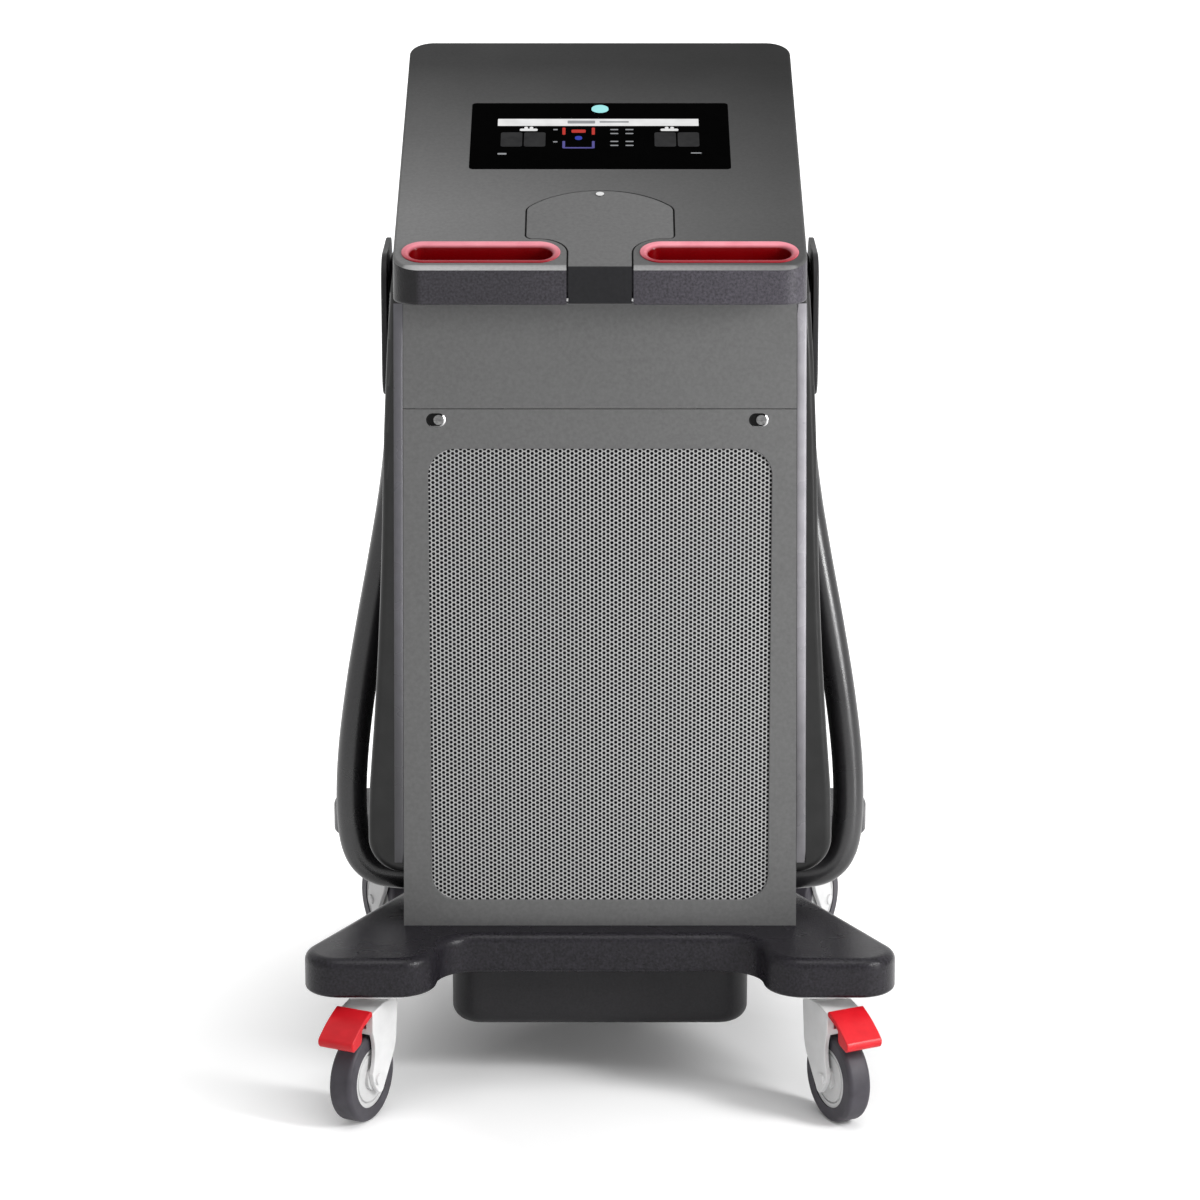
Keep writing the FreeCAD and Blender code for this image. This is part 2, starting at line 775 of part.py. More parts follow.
def make_fork(place, x_side, y_side, turn):
    body = swivel_body("caster_fork_" + place, x_side, y_side, turn)
    pad(body, outline(sketch_on(body, "YZ_Plane"), cheek_outline()), "fork_width", both_ways=True)
    soften(body, lambda edge: abs(abs(edge.CenterOfMass.x) - size("fork_width / 2")) < 0.01,
           "fork_edge")
    head = disc(sketch_on(body, "XY_Plane", "fork_top - swivel_seat"), "0", "0", "swivel_radius")
    pad(body, head, f"{PLATE_LOW} - swivel_gap - fork_top + swivel_seat")
    arch = disc(sketch_on(body, "YZ_Plane"), "-caster_trail", "wheel_radius", "wheel_room")
    pocket(body, arch, "fork_slot", both_ways=True)
    room = "(pedal_eye + 4 * pedal_gap)"
    notch = box_corners("-fork_front - beyond", f"-pedal_pin_reach + {room}",
                        f"pedal_pin_high - {room}", "pedal_pin_high + pedal_eye + pedal_gap")
    pocket(body, outline(sketch_on(body, "YZ_Plane"), notch),
           "pedal_tongue + 2 * pedal_gap", both_ways=True)
    bore = disc(sketch_on(body, "XY_Plane", PLATE_LOW), "0", "0", "kingpin_radius + running_gap")
    pocket(body, bore, f"{PLATE_LOW} - fork_top + kingpin_grip + beyond")
    axle = disc(sketch_on(body, "YZ_Plane"), "-caster_trail", "wheel_radius", "axle_radius")
    pad(body, axle, "fork_width + 2 * axle_end", both_ways=True)
    pin = disc(sketch_on(body, "YZ_Plane"), "-pedal_pin_reach", "pedal_pin_high", "pedal_pin")
    pad(body, pin, "fork_width - 2 * pedal_pin_sunk", both_ways=True)


def pedal_outline():
    """Side view of the pad: bowed on top, thin at the fork and thick at its tip."""
    rear, tip = "(-pedal_start)", "(-pedal_reach)"
    return [(rear, "pedal_high - pedal_brow"), (rear, "pedal_high - pedal_edge"),
            (f"{rear} - pedal_edge", "pedal_high", "pedal_edge", LEFT),
            (f"{tip} + pedal_tip_back", "pedal_tip_high", "pedal_bow", LEFT),
            (f"{tip} + pedal_sole_back", "pedal_low", "pedal_tip_round", LEFT),
            ("-pedal_heel - pedal_sole_rise", "pedal_low + pedal_sole_rise"),
            ("-pedal_heel", "pedal_heel_high", "pedal_heel_round", LEFT),
            ("-pedal_heel", "pedal_neck_high"),
            ("-pedal_heel + pedal_neck_step", "pedal_neck_high + pedal_neck_step",
             "pedal_heel_round", RIGHT)]


def make_pedal(place, x_side, y_side, turn):
    """Brake pedal: a pad on a tongue that turns on a pin in the fork's crown."""
    body = swivel_body("caster_pedal_" + place, x_side, y_side, turn)
    pad(body, outline(sketch_on(body, "YZ_Plane"), pedal_outline()), "pedal_width", both_ways=True)
    soften(body, lambda edge: abs(abs(edge.CenterOfMass.x) - size("pedal_width / 2")) < 0.01
           and edge.CenterOfMass.y < size("-pedal_start - 1"), "pedal_edge / 2")
    eye_y, eye_z, end = "(-pedal_pin_reach)", "(pedal_pin_high)", "(-pedal_start - pedal_eye)"
    arm = [(eye_y, f"{eye_z} - pedal_eye"), (f"{eye_y} + pedal_eye", eye_z, "pedal_eye", LEFT),
           (eye_y, f"{eye_z} + pedal_eye", "pedal_eye", LEFT), (end, f"{eye_z} + pedal_eye"),
           (end, eye_z)]
    pad(body, outline(sketch_on(body, "YZ_Plane"), arm), "pedal_tongue", both_ways=True)
    hole = disc(sketch_on(body, "YZ_Plane"), eye_y, eye_z, "pedal_pin + running_gap")
    pocket(body, hole, "pedal_width", both_ways=True)


def make_tyre(place, x_side, y_side, turn):
    body = wheel_body("caster_tyre_" + place, x_side, y_side, turn)
    half = "(tyre_width / 2)"
    section = [(half, "tyre_inner"), (half, "wheel_radius - tyre_round"),
               (f"{half} - tyre_round", "wheel_radius", "tyre_round", LEFT),
               (f"-{half} + tyre_round", "wheel_radius"),
               (f"-{half}", "wheel_radius - tyre_round", "tyre_round", LEFT),
               (f"-{half}", "tyre_inner")]
    spin(body, outline(sketch_on(body, "XZ_Plane"), section), "H_Axis")


def make_hub(place, x_side, y_side, turn):
    """Wheel centre with a boss at its bore and a ring groove in each face."""
    body = wheel_body("caster_hub_" + place, x_side, y_side, turn)
    half, boss = "(hub_width / 2)", "(fork_slot / 2 - fit_gap)"
    bore = "(axle_radius + running_gap)"
    groove, ring_end = "(hub_ring + hub_ring_wide / 2)", "(hub_ring + hub_ring_wide)"
    section = [(boss, bore), (boss, "hub_boss"), (half, "hub_boss"), (half, "hub_ring"),
               (f"{half} - hub_ring_deep", groove), (half, ring_end),
               (half, "tyre_inner"), (f"-{half}", "tyre_inner"),
               (f"-{half}", ring_end), (f"-{half} + hub_ring_deep", groove),
               (f"-{half}", "hub_ring"), (f"-{half}", "hub_boss"), (f"-{boss}", "hub_boss"),
               (f"-{boss}", bore)]
    spin(body, outline(sketch_on(body, "XZ_Plane"), section), "H_Axis")


def make_caster_stems():
    """Four top plates with their kingpins, one solid each."""
    plate_low, wide, thick = size(PLATE_LOW), size("caster_plate"), size("caster_plate_thick")
    pin_length = size(f"{PLATE_LOW} - fork_top + kingpin_grip")
    stems = []
    for _, x_side, y_side, _ in CASTERS:
        plate = Part.makeBox(wide, wide, thick, Vector(-wide / 2, -wide / 2, plate_low))
        uprights = [edge for edge in plate.Edges if edge.BoundBox.ZLength > thick / 2]
        plate = plate.makeFillet(size("caster_plate_round"), uprights)
        pin = Part.makeCylinder(size("kingpin_radius"), pin_length,
                                Vector(0, 0, plate_low - pin_length))
        stem = plate.fuse(pin)
        stem.translate(Vector(x_side * size(CASTER_X), y_side * size(CASTER_Y), 0))
        stems.append(stem)
    plain_part("caster_stems", Part.makeCompound(stems))


# ---- cabinet ----

def make_front_band():
    body = new_body("front_band")
    low, high = "(seam + seam_gap / 2)", "(bar_low - cover_top_gap)"
    face = [(front_half(low), low), (front_half(high), high),
            (f"-{front_half(high)}", high), (f"-{front_half(low)}", low)]
    pad(body, outline(sketch_on(body, "XZ_Plane", FRONT_IN), face), "sheet_thick")
    soften(body, lambda edge: edge.CenterOfMass.y < -size("front_y") + 0.01
           and edge.BoundBox.XLength > size("front_y"), "sheet_edge")


def make_front_panel():
    body = new_body("front_panel")
    low, high = DECK_TOP, "(seam - seam_gap / 2)"
    face = [(front_half(low), low), (front_half(high), high),
            (f"-{front_half(high)}", high), (f"-{front_half(low)}", low)]
    pad(body, outline(sketch_on(body, "XZ_Plane", FRONT_IN), face), "sheet_thick")
    window = rounded("0", "(grille_low + grille_high) / 2", "grille_width",
                     "grille_high - grille_low", "grille_round")
    pocket(body, outline(sketch_on(body, "XZ_Plane", "front_y"), window), "sheet_thick")
    for _, side in both_sides():
        well = stadium(f"({side} * latch_x - latch_well_shift)", LATCH_Z,
                       "latch_well_long", "latch_well_wide")
        pocket(body, outline(sketch_on(body, "XZ_Plane", "front_y"), well), "latch_well_deep")
        hole = disc(sketch_on(body, "XZ_Plane", "front_y"), f"{side} * latch_x", LATCH_Z,
                    "latch_radius + running_gap")
        pocket(body, hole, "sheet_thick")
    soften(body, window_edge, "sheet_edge")


def window_edge(edge):
    """Chooses the front edges of the front panel's window."""
    spot = edge.CenterOfMass
    return (spot.y < -size("front_y") + 0.01 and abs(spot.x) < size("grille_width / 2") + 0.01
            and size("grille_low") - 0.01 < spot.z < size("grille_high") + 0.01)


def make_grille():
    body = new_body("grille_mesh")
    face = rounded("0", "(grille_low + grille_high) / 2", "grille_width + 2 * grille_lap",
                   "grille_high - grille_low + 2 * grille_lap", "grille_round")
    sketch = outline(sketch_on(body, "XZ_Plane", f"{FRONT_IN} - grille_thick"), face)
    pad(body, sketch, "grille_thick")


def make_latch(name, side):
    """Quarter-turn fastener: slotted head in front, cam behind the panel."""
    body = new_body("panel_latch_" + name, f"{side} * latch_x", "-front_y", LATCH_Z)
    head = disc(sketch_on(body, "XZ_Plane", "-latch_well_deep + fit_gap"), "0", "0", "latch_head")
    pad(body, head, "latch_well_deep - fit_gap")
    stem = disc(sketch_on(body, "XZ_Plane", "-sheet_thick - fit_gap"), "0", "0", "latch_radius")
    pad(body, stem, "sheet_thick")
    cam = stadium("0", "0", "latch_cam", "latch_cam_wide")
    cam_back = "-sheet_thick - fit_gap - latch_cam_thick"
    pad(body, outline(sketch_on(body, "XZ_Plane", cam_back), cam), "latch_cam_thick")
    slot = stadium("0", "0", "2 * latch_head + latch_slot", "latch_slot")
    pocket(body, outline(sketch_on(body, "XZ_Plane"), slot), "latch_slot_deep")


def make_side_panel(name, side):
    """Recessed side wall, cut to the slope of the console above it."""
    body = new_body("side_panel_" + name)
    front = "(-front_y + sheet_thick + fit_gap)"
    wall = [(front, DECK_TOP), (WALL_IN, DECK_TOP), (WALL_IN, console_under(WALL_IN)),
            (front, console_under(front))]
    inner = SIDE_IN if side > 0 else "(-side_half)"
    pad(body, outline(sketch_on(body, "YZ_Plane", inner), wall), "sheet_thick")
    hole = disc(sketch_on(body, "YZ_Plane", inner), "-port_y", "port_z", "port_hole + fit_gap")
    pocket(body, hole, "sheet_thick", reverse=True)


def cover_profile(side, thin):
    """Front view of a side cover, thinned from its outer faces."""
    low, high = f"(cover_low + {thin})", "cover_high"
    curl = f"(cover_curl - {thin})"
    turn, other = (LEFT, RIGHT) if side > 0 else (RIGHT, LEFT)
    return [(f"{side} * side_half", high), (f"{side} * side_half", low),
            (f"{side} * (cover_reach_belly - cover_curl)", low),
            (f"{side} * (cover_reach_belly - {thin})", f"{low} + {curl}", curl, turn),
            (f"{side} * (cover_reach_thigh - {thin})", "cover_thigh", "cover_thigh_round", turn),
            (f"{side} * (cover_reach_chest - {thin})", "cover_chest", "cover_waist_round", other),
            (f"{side} * (cover_reach_high - {thin})", high, "cover_chest_round", turn)]


def make_side_cover(name, side):
    """Moulded front wing: narrow at the handle bar, with a belly low down."""
    body = new_body("side_cover_" + name)
    depth = "(front_y - cover_rear)"
    pad(body, outline(sketch_on(body, "XZ_Plane", "cover_rear"), cover_profile(side, "0")), depth)
    for y, radius in (("-front_y", "cover_front_round"), ("-cover_rear", "cover_rear_round")):
        soften(body, lambda edge, y=y: cover_rim(edge, size(y)), radius)
    lap = "(sheet_thick + fit_gap)"
    low, high = "(cover_low - beyond)", "(cover_high + beyond)"
    notch = [(f"{side} * (side_half - beyond)", low),
             (f"{side} * ({front_half(low)} + seam_gap)", low),
             (f"{side} * ({front_half(high)} + seam_gap)", high),
             (f"{side} * (side_half - beyond)", high)]
    pocket(body, outline(sketch_on(body, "XZ_Plane", "front_y"), notch), lap)
    inside = outline(sketch_on(body, "XZ_Plane", f"front_y - {lap} - cover_wall"),
                     cover_profile(side, "cover_wall"))
    pocket(body, inside, f"{depth} - {lap} - cover_wall - cover_rib")
    cut_above(body, console_under, "(-front_y - beyond)", "(-cover_rear + beyond)", "cover_top_gap")


def cover_rim(edge, y):
    """Chooses a cover's outer edges at a place y, without its top and inner edges."""
    box, middle = edge.BoundBox, edge.CenterOfMass
    return (abs(box.YMin - y) < 0.01 and abs(box.YMax - y) < 0.01
            and middle.z < size("cover_high") - 1 and abs(middle.x) > size("side_half") + 1)


def make_rear_panel():
    body = new_body("rear_panel")
    wall = [("side_half", DECK_TOP), ("side_half", console_under(WALL_IN)),
            ("-side_half", console_under(WALL_IN)), ("-side_half", DECK_TOP)]
    pad(body, outline(sketch_on(body, "XZ_Plane", "-wall_y"), wall), "sheet_thick")
    vent = stadium("0", "vent_low", "vent_width", "vent_high")
    slit = pocket(body, outline(sketch_on(body, "XZ_Plane", f"-{WALL_IN}"), vent), "sheet_thick")
    copies(body, slit, "Z_Axis", "vent_pitch", "vent_count")
    hole = rounded("module_x", "module_z", "module_wide - 2 * module_rim + 2 * fit_gap",
                   "module_high - 2 * module_rim + 2 * fit_gap", "module_round")
    pocket(body, outline(sketch_on(body, "XZ_Plane", f"-{WALL_IN}"), hole), "sheet_thick")


def make_shelf():
    body = new_body("equipment_shelf", z="shelf_z")
    plan = box_corners(f"-{SIDE_IN}", SIDE_IN, f"(-{FRONT_IN} + shelf_setback)", WALL_IN)
    pad(body, outline(sketch_on(body, "XY_Plane"), plan), "sheet_thick")
    pipes = rounded("0", f"({WALL_IN} - pipe_hole_off)", "pipe_hole_wide", "pipe_hole_deep",
                    "pipe_hole_round")
    pocket(body, outline(sketch_on(body, "XY_Plane", "sheet_thick"), pipes), "sheet_thick")


# ---- console ----

def lid_plan(gap, front):
    """Keyhole plan in the slope: round head, neck between the slots, widened by a gap."""
    neck, half = f"({LID_NECK} + {gap})", f"(lid_half + {gap})"
    inner = f"(slot_wide / 2 + lid_web + lid_gap - {gap})"
    heel = f"(lid_heel + {gap})"
    foot = f"(slot_s + {inner})"
    middle = "(lid_apex - lid_arc)"
    lift = "sqrt((lid_arc - lid_shoulder) ^ 2 - (lid_half - lid_shoulder) ^ 2)"
    ratio = f"((lid_arc + {gap}) / (lid_arc - lid_shoulder))"
    turn_x = f"({ratio} * (lid_half - lid_shoulder))"
    turn_s = f"({middle} + {ratio} * {lift})"
    shoulder, arc = f"(lid_shoulder + {gap})", f"(lid_arc + {gap})"
    end = SLOT_END
    return [(neck, front), (neck, "slot_s"), (end, foot, inner, RIGHT),
            (f"{half} - {heel}", foot), (half, f"{foot} + {heel}", heel, LEFT),
            (half, f"{middle} + {lift}"), (turn_x, turn_s, shoulder, LEFT),
            (f"-{turn_x}", turn_s, arc, LEFT), (f"-{half}", f"{middle} + {lift}", shoulder, LEFT),
            (f"-{half}", f"{foot} + {heel}"), (f"-{half} + {heel}", foot, heel, LEFT),
            (f"-{end}", foot), (f"-{neck}", "slot_s", inner, RIGHT), (f"-{neck}", front)]


def slot_plan(side, shrink):
    """Plan of a hand slot seen from above, drawn in by a distance on all sides."""
    return stadium(f"{side} * slot_x", SLOT_Y, f"slot_long - 2 * ({shrink})",
                   f"slot_wide * {BEND} - 2 * ({shrink})")


def console_plan(back):
    """Plan of the console from its front edge to a place further back, round in front."""
    half, front = "(console_width / 2)", "(-console_front)"
    inner = f"({half} - console_round)"
    return [(half, back), (f"-{half}", back), (f"-{half}", f"{front} + console_round"),
            (f"-{inner}", front, "console_round", LEFT), (inner, front),
            (half, f"{front} + console_round", "console_round", LEFT)]


def make_console():
    """Moulded hood over the cabinet, with a sloping top and a skin that runs out over the bar."""
    body = new_body("console_shell")
    front, step, back = "(-console_front - beyond)", "(-front_y)", "(rear_y + beyond)"
    middle, depth = "((rear_y - console_front) / 2)", "(rear_y + console_front)"
    plan = rounded("0", middle, "console_width", depth, "console_round")
    pad(body, outline(sketch_on(body, "XY_Plane", "bar_low"), plan), f"{console_top(back)} - bar_low")
    cut_above(body, console_top, front, back)
    low = "(bar_low - beyond)"
    cut_side(body, [(step, low), (step, f"{console_top(step)} - {SKIN_DROP}"),
                    (front, f"{console_top(front)} - {SKIN_DROP}"), (front, low)])
    cut_side(body, [(f"{step} - beyond", low), (back, low), (back, console_under(back)),
                    (step, "bar_low"), (f"{step} - beyond", "bar_low")])
    soften(body, on_slope, "console_edge")
    corner = "(console_round - skin)"
    hollow_console(body, f"rear_y - {corner}", "console_width - 2 * skin")
    hollow_console(body, "rear_y - skin", f"console_width - 2 * {corner}")
    cut_hatch(body)
    ledge = rounded("0", "(glass_low + glass_high) / 2", "glass_width + 2 * ledge_wide",
                    "glass_high - glass_low + 2 * ledge_wide", "glass_round")
    pad(body, outline(slope_sketch(body, "-skin"), ledge), "ledge_thick", reverse=True)
    cut_console_top(body)


def cut_hatch(body):
    """Opens the console's floor into the cabinet."""
    front, back = "(-front_y + 3 * skin)", "(wall_y - 3 * skin)"
    hatch = [(front, f"{console_under(front)} - beyond"), (back, f"{console_under(back)} - beyond"),
             (back, f"{console_under(back)} + 1.5 * {SKIN_DROP}"),
             (front, f"{console_under(front)} + 1.5 * {SKIN_DROP}")]
    pocket(body, outline(sketch_on(body, "YZ_Plane"), hatch), f"2 * {SIDE_IN} - 2 * skin",
           both_ways=True)


def hollow_console(body, back, width):
    """Hollows the console from its front wall to a place further back."""
    front = "(-front_y + skin)"
    back = f"({back})"
    room = [(front, f"{console_under(front)} + {SKIN_DROP}"),
            (back, f"{console_under(back)} + {SKIN_DROP}"),
            (back, f"{console_top(back)} - {SKIN_DROP}"),
            (front, f"{console_top(front)} - {SKIN_DROP}")]
    pocket(body, outline(sketch_on(body, "YZ_Plane"), room), width, both_ways=True)


def on_slope(edge):
    """Chooses the outer edges of the console's upper face."""
    ends = [vertex.Point for vertex in edge.Vertexes] + [edge.CenterOfMass]
    return all(abs(end.z - size(console_top(f"({end.y})"))) < 0.05 for end in ends)


def cut_console_top(body):
    """Glass recess and window, lid opening and hand slots in the console's skin."""
    middle = "(glass_low + glass_high) / 2"
    pane = rounded("0", middle, "glass_width + 2 * fit_gap",
                   "glass_high - glass_low + 2 * fit_gap", "glass_round")
    pocket(body, outline(slope_sketch(body), pane), "glass_thick")
    window = rounded("0", middle, "glass_width - 2 * glass_ledge",
                     "glass_high - glass_low - 2 * glass_ledge", "glass_round")
    pocket(body, outline(slope_sketch(body), window), "skin + ledge_thick + beyond")
    well = disc(slope_sketch(body), "0", BUTTON_S, "button_flange + module_gap")
    pocket(body, well, "skin + ledge_thick + beyond")
    pocket(body, outline(slope_sketch(body), lid_plan("lid_gap", "(-console_round)")),
           "skin + lid_gap")
    cut_hand_slots(body)


def cut_hand_slots(body):
    """Room for the sleeves of the two hand slots, straight down through the body."""
    for _, side in both_sides():
        room = outline(sketch_on(body, "XY_Plane", "bar_high + far_beyond"),
                       slot_plan(side, "slot_rim - fit_gap"))
        pocket(body, room, "bar_high - bar_low + 2 * far_beyond")


def make_handle_bar():
    """Bar across the front with the two hand slots through it."""
    body = new_body("handle_bar")
    front, back = "(-console_front)", "(-front_y - fit_gap)"
    pad(body, outline(sketch_on(body, "XY_Plane", "bar_low"), console_plan(back)),
        f"{console_top(back)} - bar_low")
    cut_above(body, console_top, f"({front} - beyond)", f"({back} + beyond)", SKIN_DROP)
    soften(body, lambda edge: abs(edge.BoundBox.ZMax - size("bar_low")) < 0.01
           and edge.CenterOfMass.y < size(back) - 1, "console_edge")
    cut_hand_slots(body)
    knuckle_back = f"({HINGE_Y} + knuckle + lip_room)"
    knuckle_top = f"({HINGE_Z} + knuckle + lip_room)"
    lip_back, high = f"({front} + lip_thick + lip_room)", "(bar_high + beyond)"
    ahead, low = f"({front} - beyond)", "(bar_low - beyond)"
    step = [(ahead, low), (knuckle_back, low), (knuckle_back, knuckle_top),
            (lip_back, knuckle_top), (lip_back, high), (ahead, high)]
    pocket(body, outline(sketch_on(body, "YZ_Plane"), step), f"2 * ({LID_NECK} + lid_gap)",
           both_ways=True)
    pin = disc(sketch_on(body, "YZ_Plane"), HINGE_Y, HINGE_Z, "hinge_pin + hinge_pin_play")
    pocket(body, pin, PIN_LENGTH, both_ways=True)


def make_slot_liner(name, side):
    """Red sleeve of a hand slot with a rim that lies on the console."""
    body = new_body("slot_liner_" + name)
    tall = outline(sketch_on(body, "XY_Plane", "bar_low + fit_gap"), slot_plan(side, "slot_rim"))
    pad(body, tall, "bar_high - bar_low + far_beyond")
    cut_above(body, console_top, "(-console_front - beyond)", "(-front_y + 2 * beyond)")
    rim = stadium(f"{side} * slot_x", "slot_s", "slot_long", "slot_wide")
    pad(body, outline(slope_sketch(body), rim), "slot_rim_high")
    soften(body, on_rim, "slot_rim_edge")
    hole = outline(sketch_on(body, "XY_Plane", "bar_high + far_beyond"),
                   slot_plan(side, "slot_rim + slot_wall"))
    pocket(body, hole, "bar_high - bar_low + 2 * far_beyond")
    middle = size(f"{side} * slot_x")
    reach = size("slot_long / 2 - slot_rim")
    soften(body, lambda edge: on_rim(edge) and abs(edge.CenterOfMass.x - middle) < reach
           and abs(edge.CenterOfMass.y - size(SLOT_Y)) < size("slot_wide / 2 - slot_rim"),
           "slot_rim_round")


def on_rim(edge):
    """Chooses edges that lie on the upper face of a slot's rim."""
    lift = size(f"slot_rim_high / {BEND}")
    ends = [vertex.Point for vertex in edge.Vertexes] + [edge.CenterOfMass]
    return all(abs(end.z - size(console_top(f"({end.y})")) - lift) < 0.02 for end in ends)


def make_lid():
    """Keyhole lid with a lip that turns down over the bar's front to the hinge."""
    body = new_body("reservoir_lid")
    pad(body, outline(slope_sketch(body), lid_plan("0", "0")), "lid_thick", reverse=True)
    front, back = "(-console_front)", "(-console_front + lip_thick)"
    root, root_top = f"({back} + lip_root)", f"(bar_high + (lip_thick + lip_root) * {RISE})"
    lip = [(back, f"{HINGE_Z} + knuckle"), (HINGE_Y, f"{HINGE_Z} + knuckle"),
           (f"{HINGE_Y} + knuckle", HINGE_Z, "knuckle", RIGHT),
           (HINGE_Y, f"{HINGE_Z} - knuckle", "knuckle", RIGHT),
           (front, HINGE_Z, "knuckle", RIGHT),
           (front, "bar_high"), (root, root_top), (root, f"{root_top} - lid_thick"),
           (back, "bar_high - lid_thick - lip_root_drop")]
    pad(body, outline(sketch_on(body, "YZ_Plane"), lip), f"2 * {LID_NECK}", both_ways=True)
    hole = disc(sketch_on(body, "YZ_Plane"), HINGE_Y, HINGE_Z, "hinge_pin + running_gap")
    pocket(body, hole, "console_width", both_ways=True)
    well = disc(slope_sketch(body), "0", "lid_apex - catch_inset", "catch_radius + fit_gap")
    pocket(body, well, "lid_thick / 2")


def make_lid_catch():
    body = new_body("lid_catch")
    sketch = disc(slope_sketch(body, "-lid_thick / 2"), "0", "lid_apex - catch_inset",
                  "catch_radius")
    pad(body, sketch, "lid_thick / 2 + catch_high")


def make_hinge_pin():
    body = new_body("lid_hinge_pin", y=HINGE_Y, z=HINGE_Z)
    pad(body, disc(sketch_on(body, "YZ_Plane"), "0", "0", "hinge_pin"), PIN_LENGTH, both_ways=True)


def make_display():
    body = new_body("display_glass")
    middle = "(glass_low + glass_high) / 2"
    pane = rounded("0", middle, "glass_width", "glass_high - glass_low", "glass_round")
    pad(body, outline(slope_sketch(body), pane), "glass_thick", reverse=True)
    hole = disc(slope_sketch(body), "0", BUTTON_S, "button_radius + button_gap")
    pocket(body, hole, "glass_thick")
    body = new_body("display_module")
    inset = "2 * (glass_ledge + module_gap)"
    block = rounded("0", middle, f"glass_width - {inset}", f"glass_high - glass_low - {inset}",
                    "glass_round")
    pad(body, outline(slope_sketch(body, "-glass_thick"), block), "module_thick", reverse=True)
    well = disc(slope_sketch(body, "-glass_thick"), "0", BUTTON_S, "button_flange + module_gap")
    pocket(body, well, "button_flange_thick + button_travel + module_gap")


def make_button():
    body = new_body("standby_button")
    cap = disc(slope_sketch(body, "-glass_thick - fit_gap"), "0", BUTTON_S, "button_radius")
    pad(body, cap, "glass_thick + fit_gap + button_proud")
    flange = disc(slope_sketch(body, "-glass_thick - fit_gap"), "0", BUTTON_S, "button_flange")
    pad(body, flange, "button_flange_thick", reverse=True)


# ---- hooks, ports and hoses ----

def make_hook(name, side):
    """Half drum with an outer plate that keeps the hose on it."""
    body = new_body("hose_hook_" + name, y="hook_y", z="hook_z")
    wall = "side_half" if side > 0 else "(-side_half - hook_room)"
    radius, inner = "drum_radius", "(drum_radius - drum_wall)"
    drum = [(radius, "-drum_below"), (radius, "0"), ("0", radius, radius, LEFT),
            (f"-{radius}", "0", radius, LEFT), (f"-{radius}", "-drum_below"),
            (f"-{inner}", "-drum_below"), (f"-{inner}", "0"), ("0", inner, inner, RIGHT),
            (inner, "0", inner, RIGHT), (inner, "-drum_below")]
    pad(body, outline(sketch_on(body, "YZ_Plane", wall), drum), "hook_room")
    foot = [(inner, "-drum_below"), (inner, "0"), ("0", inner, inner, LEFT),
            (f"-{inner}", "0", inner, LEFT), (f"-{inner}", "-drum_below")]
    start = "side_half" if side > 0 else "(-side_half - drum_wall)"
    pad(body, outline(sketch_on(body, "YZ_Plane", start), foot), "drum_wall")
    plate = rounded("0", "hook_plate_top - hook_plate_high / 2", "hook_plate_depth",
                    "hook_plate_high", "hook_plate_round")
    start = "(side_half + hook_room)" if side > 0 else "(-side_half - hook_room - hook_plate)"
    pad(body, outline(sketch_on(body, "YZ_Plane", start), plate), "hook_plate")
    face = size("side_half + hook_room + hook_plate")
    soften(body, lambda edge: abs(abs(edge.CenterOfMass.x) - face) < 0.01, "hook_plate_edge")


def make_ports():
    """Two glands in the side walls, one solid each, in one node."""
    glands = []
    for _, side in both_sides():
        wall, stub = size("side_half"), size("port_stub")
        axis = Vector(side, 0, 0)
        base = Vector(side * size(SIDE_IN), -size("port_y"), size("port_z"))
        neck = Part.makeCylinder(size("port_hole"), size("sheet_thick") + stub, base, axis)
        flange = Part.makeCylinder(size("port_flange"), size("port_flange_thick"),
                                   Vector(side * wall, base.y, base.z), axis)
        glands.append(neck.fuse(flange).removeSplitter())
    plain_part("hose_ports", Part.makeCompound(glands))


# The hose's corners by hand: out of the gland and up, from the gland's face, ...
HOSE_RISE = [(0, 0, 0), (22, 0, 0), (47, 0.5, 7), (63, 2, 28), (69, 6, 68), (67.5, 13, 132),
             (58.5, 27, 207), (45.5, 47, 283), (31, 69, 359), (17.5, 87, 437), (9, 100, 527)]
# ... and down behind the hook, from the hook's middle.
HOSE_FALL = [(0.5, 77.5, -58), (2, 75, -170), (0.5, 76, -285), (1, 75, -400)]
# Corners of the wrap round the hook, in degrees about its middle.
WRAP_HALF_STEP = 30
WRAP_TURNS = (90 + 2 * WRAP_HALF_STEP, 90, 90 - 2 * WRAP_HALF_STEP)


def hose_route():
    """Corners of the right hose from its gland, up and over the hook, and down behind it."""
    gland = Vector(size("side_half + port_stub"), -size("port_y"), size("port_z"))
    hook = Vector(size("side_half + hose_radius + hose_wall_gap"), size("hook_y"), size("hook_z"))
    wrap = size("drum_radius + hose_radius + hose_rest")
    reach = wrap / math.cos(math.radians(WRAP_HALF_STEP))
    over = [hook + Vector(0, reach * math.cos(math.radians(turn)),
                          reach * math.sin(math.radians(turn))) for turn in WRAP_TURNS]
    return ([gland + Vector(*spot) for spot in HOSE_RISE] + over
            + [hook + Vector(*spot) for spot in HOSE_FALL])


def hose_line(spots):
    """Straight runs joined by tangent arcs, and the radius of each arc."""
    edges, radii, start = [], [], spots[0]
    for before, spot, after in zip(spots, spots[1:], spots[2:]):
        back, ahead = (before - spot), (after - spot)
        half_turn = (math.pi - back.getAngle(ahead)) / 2
        set_back = 0.45 * min(back.Length, ahead.Length)
        radius = set_back / math.tan(half_turn)
        back, ahead = back.normalize(), ahead.normalize()
        first, last = spot + back * set_back, spot + ahead * set_back
        inward = (back + ahead).normalize()
        middle = spot + inward * (radius / math.cos(half_turn) - radius)
        edges.append(Part.LineSegment(start, first).toShape())
        edges.append(Part.Arc(first, middle, last).toShape())
        radii.append(radius)
        start = last
    edges.append(Part.LineSegment(start, spots[-1]).toShape())
    return Part.Wire(edges), radii


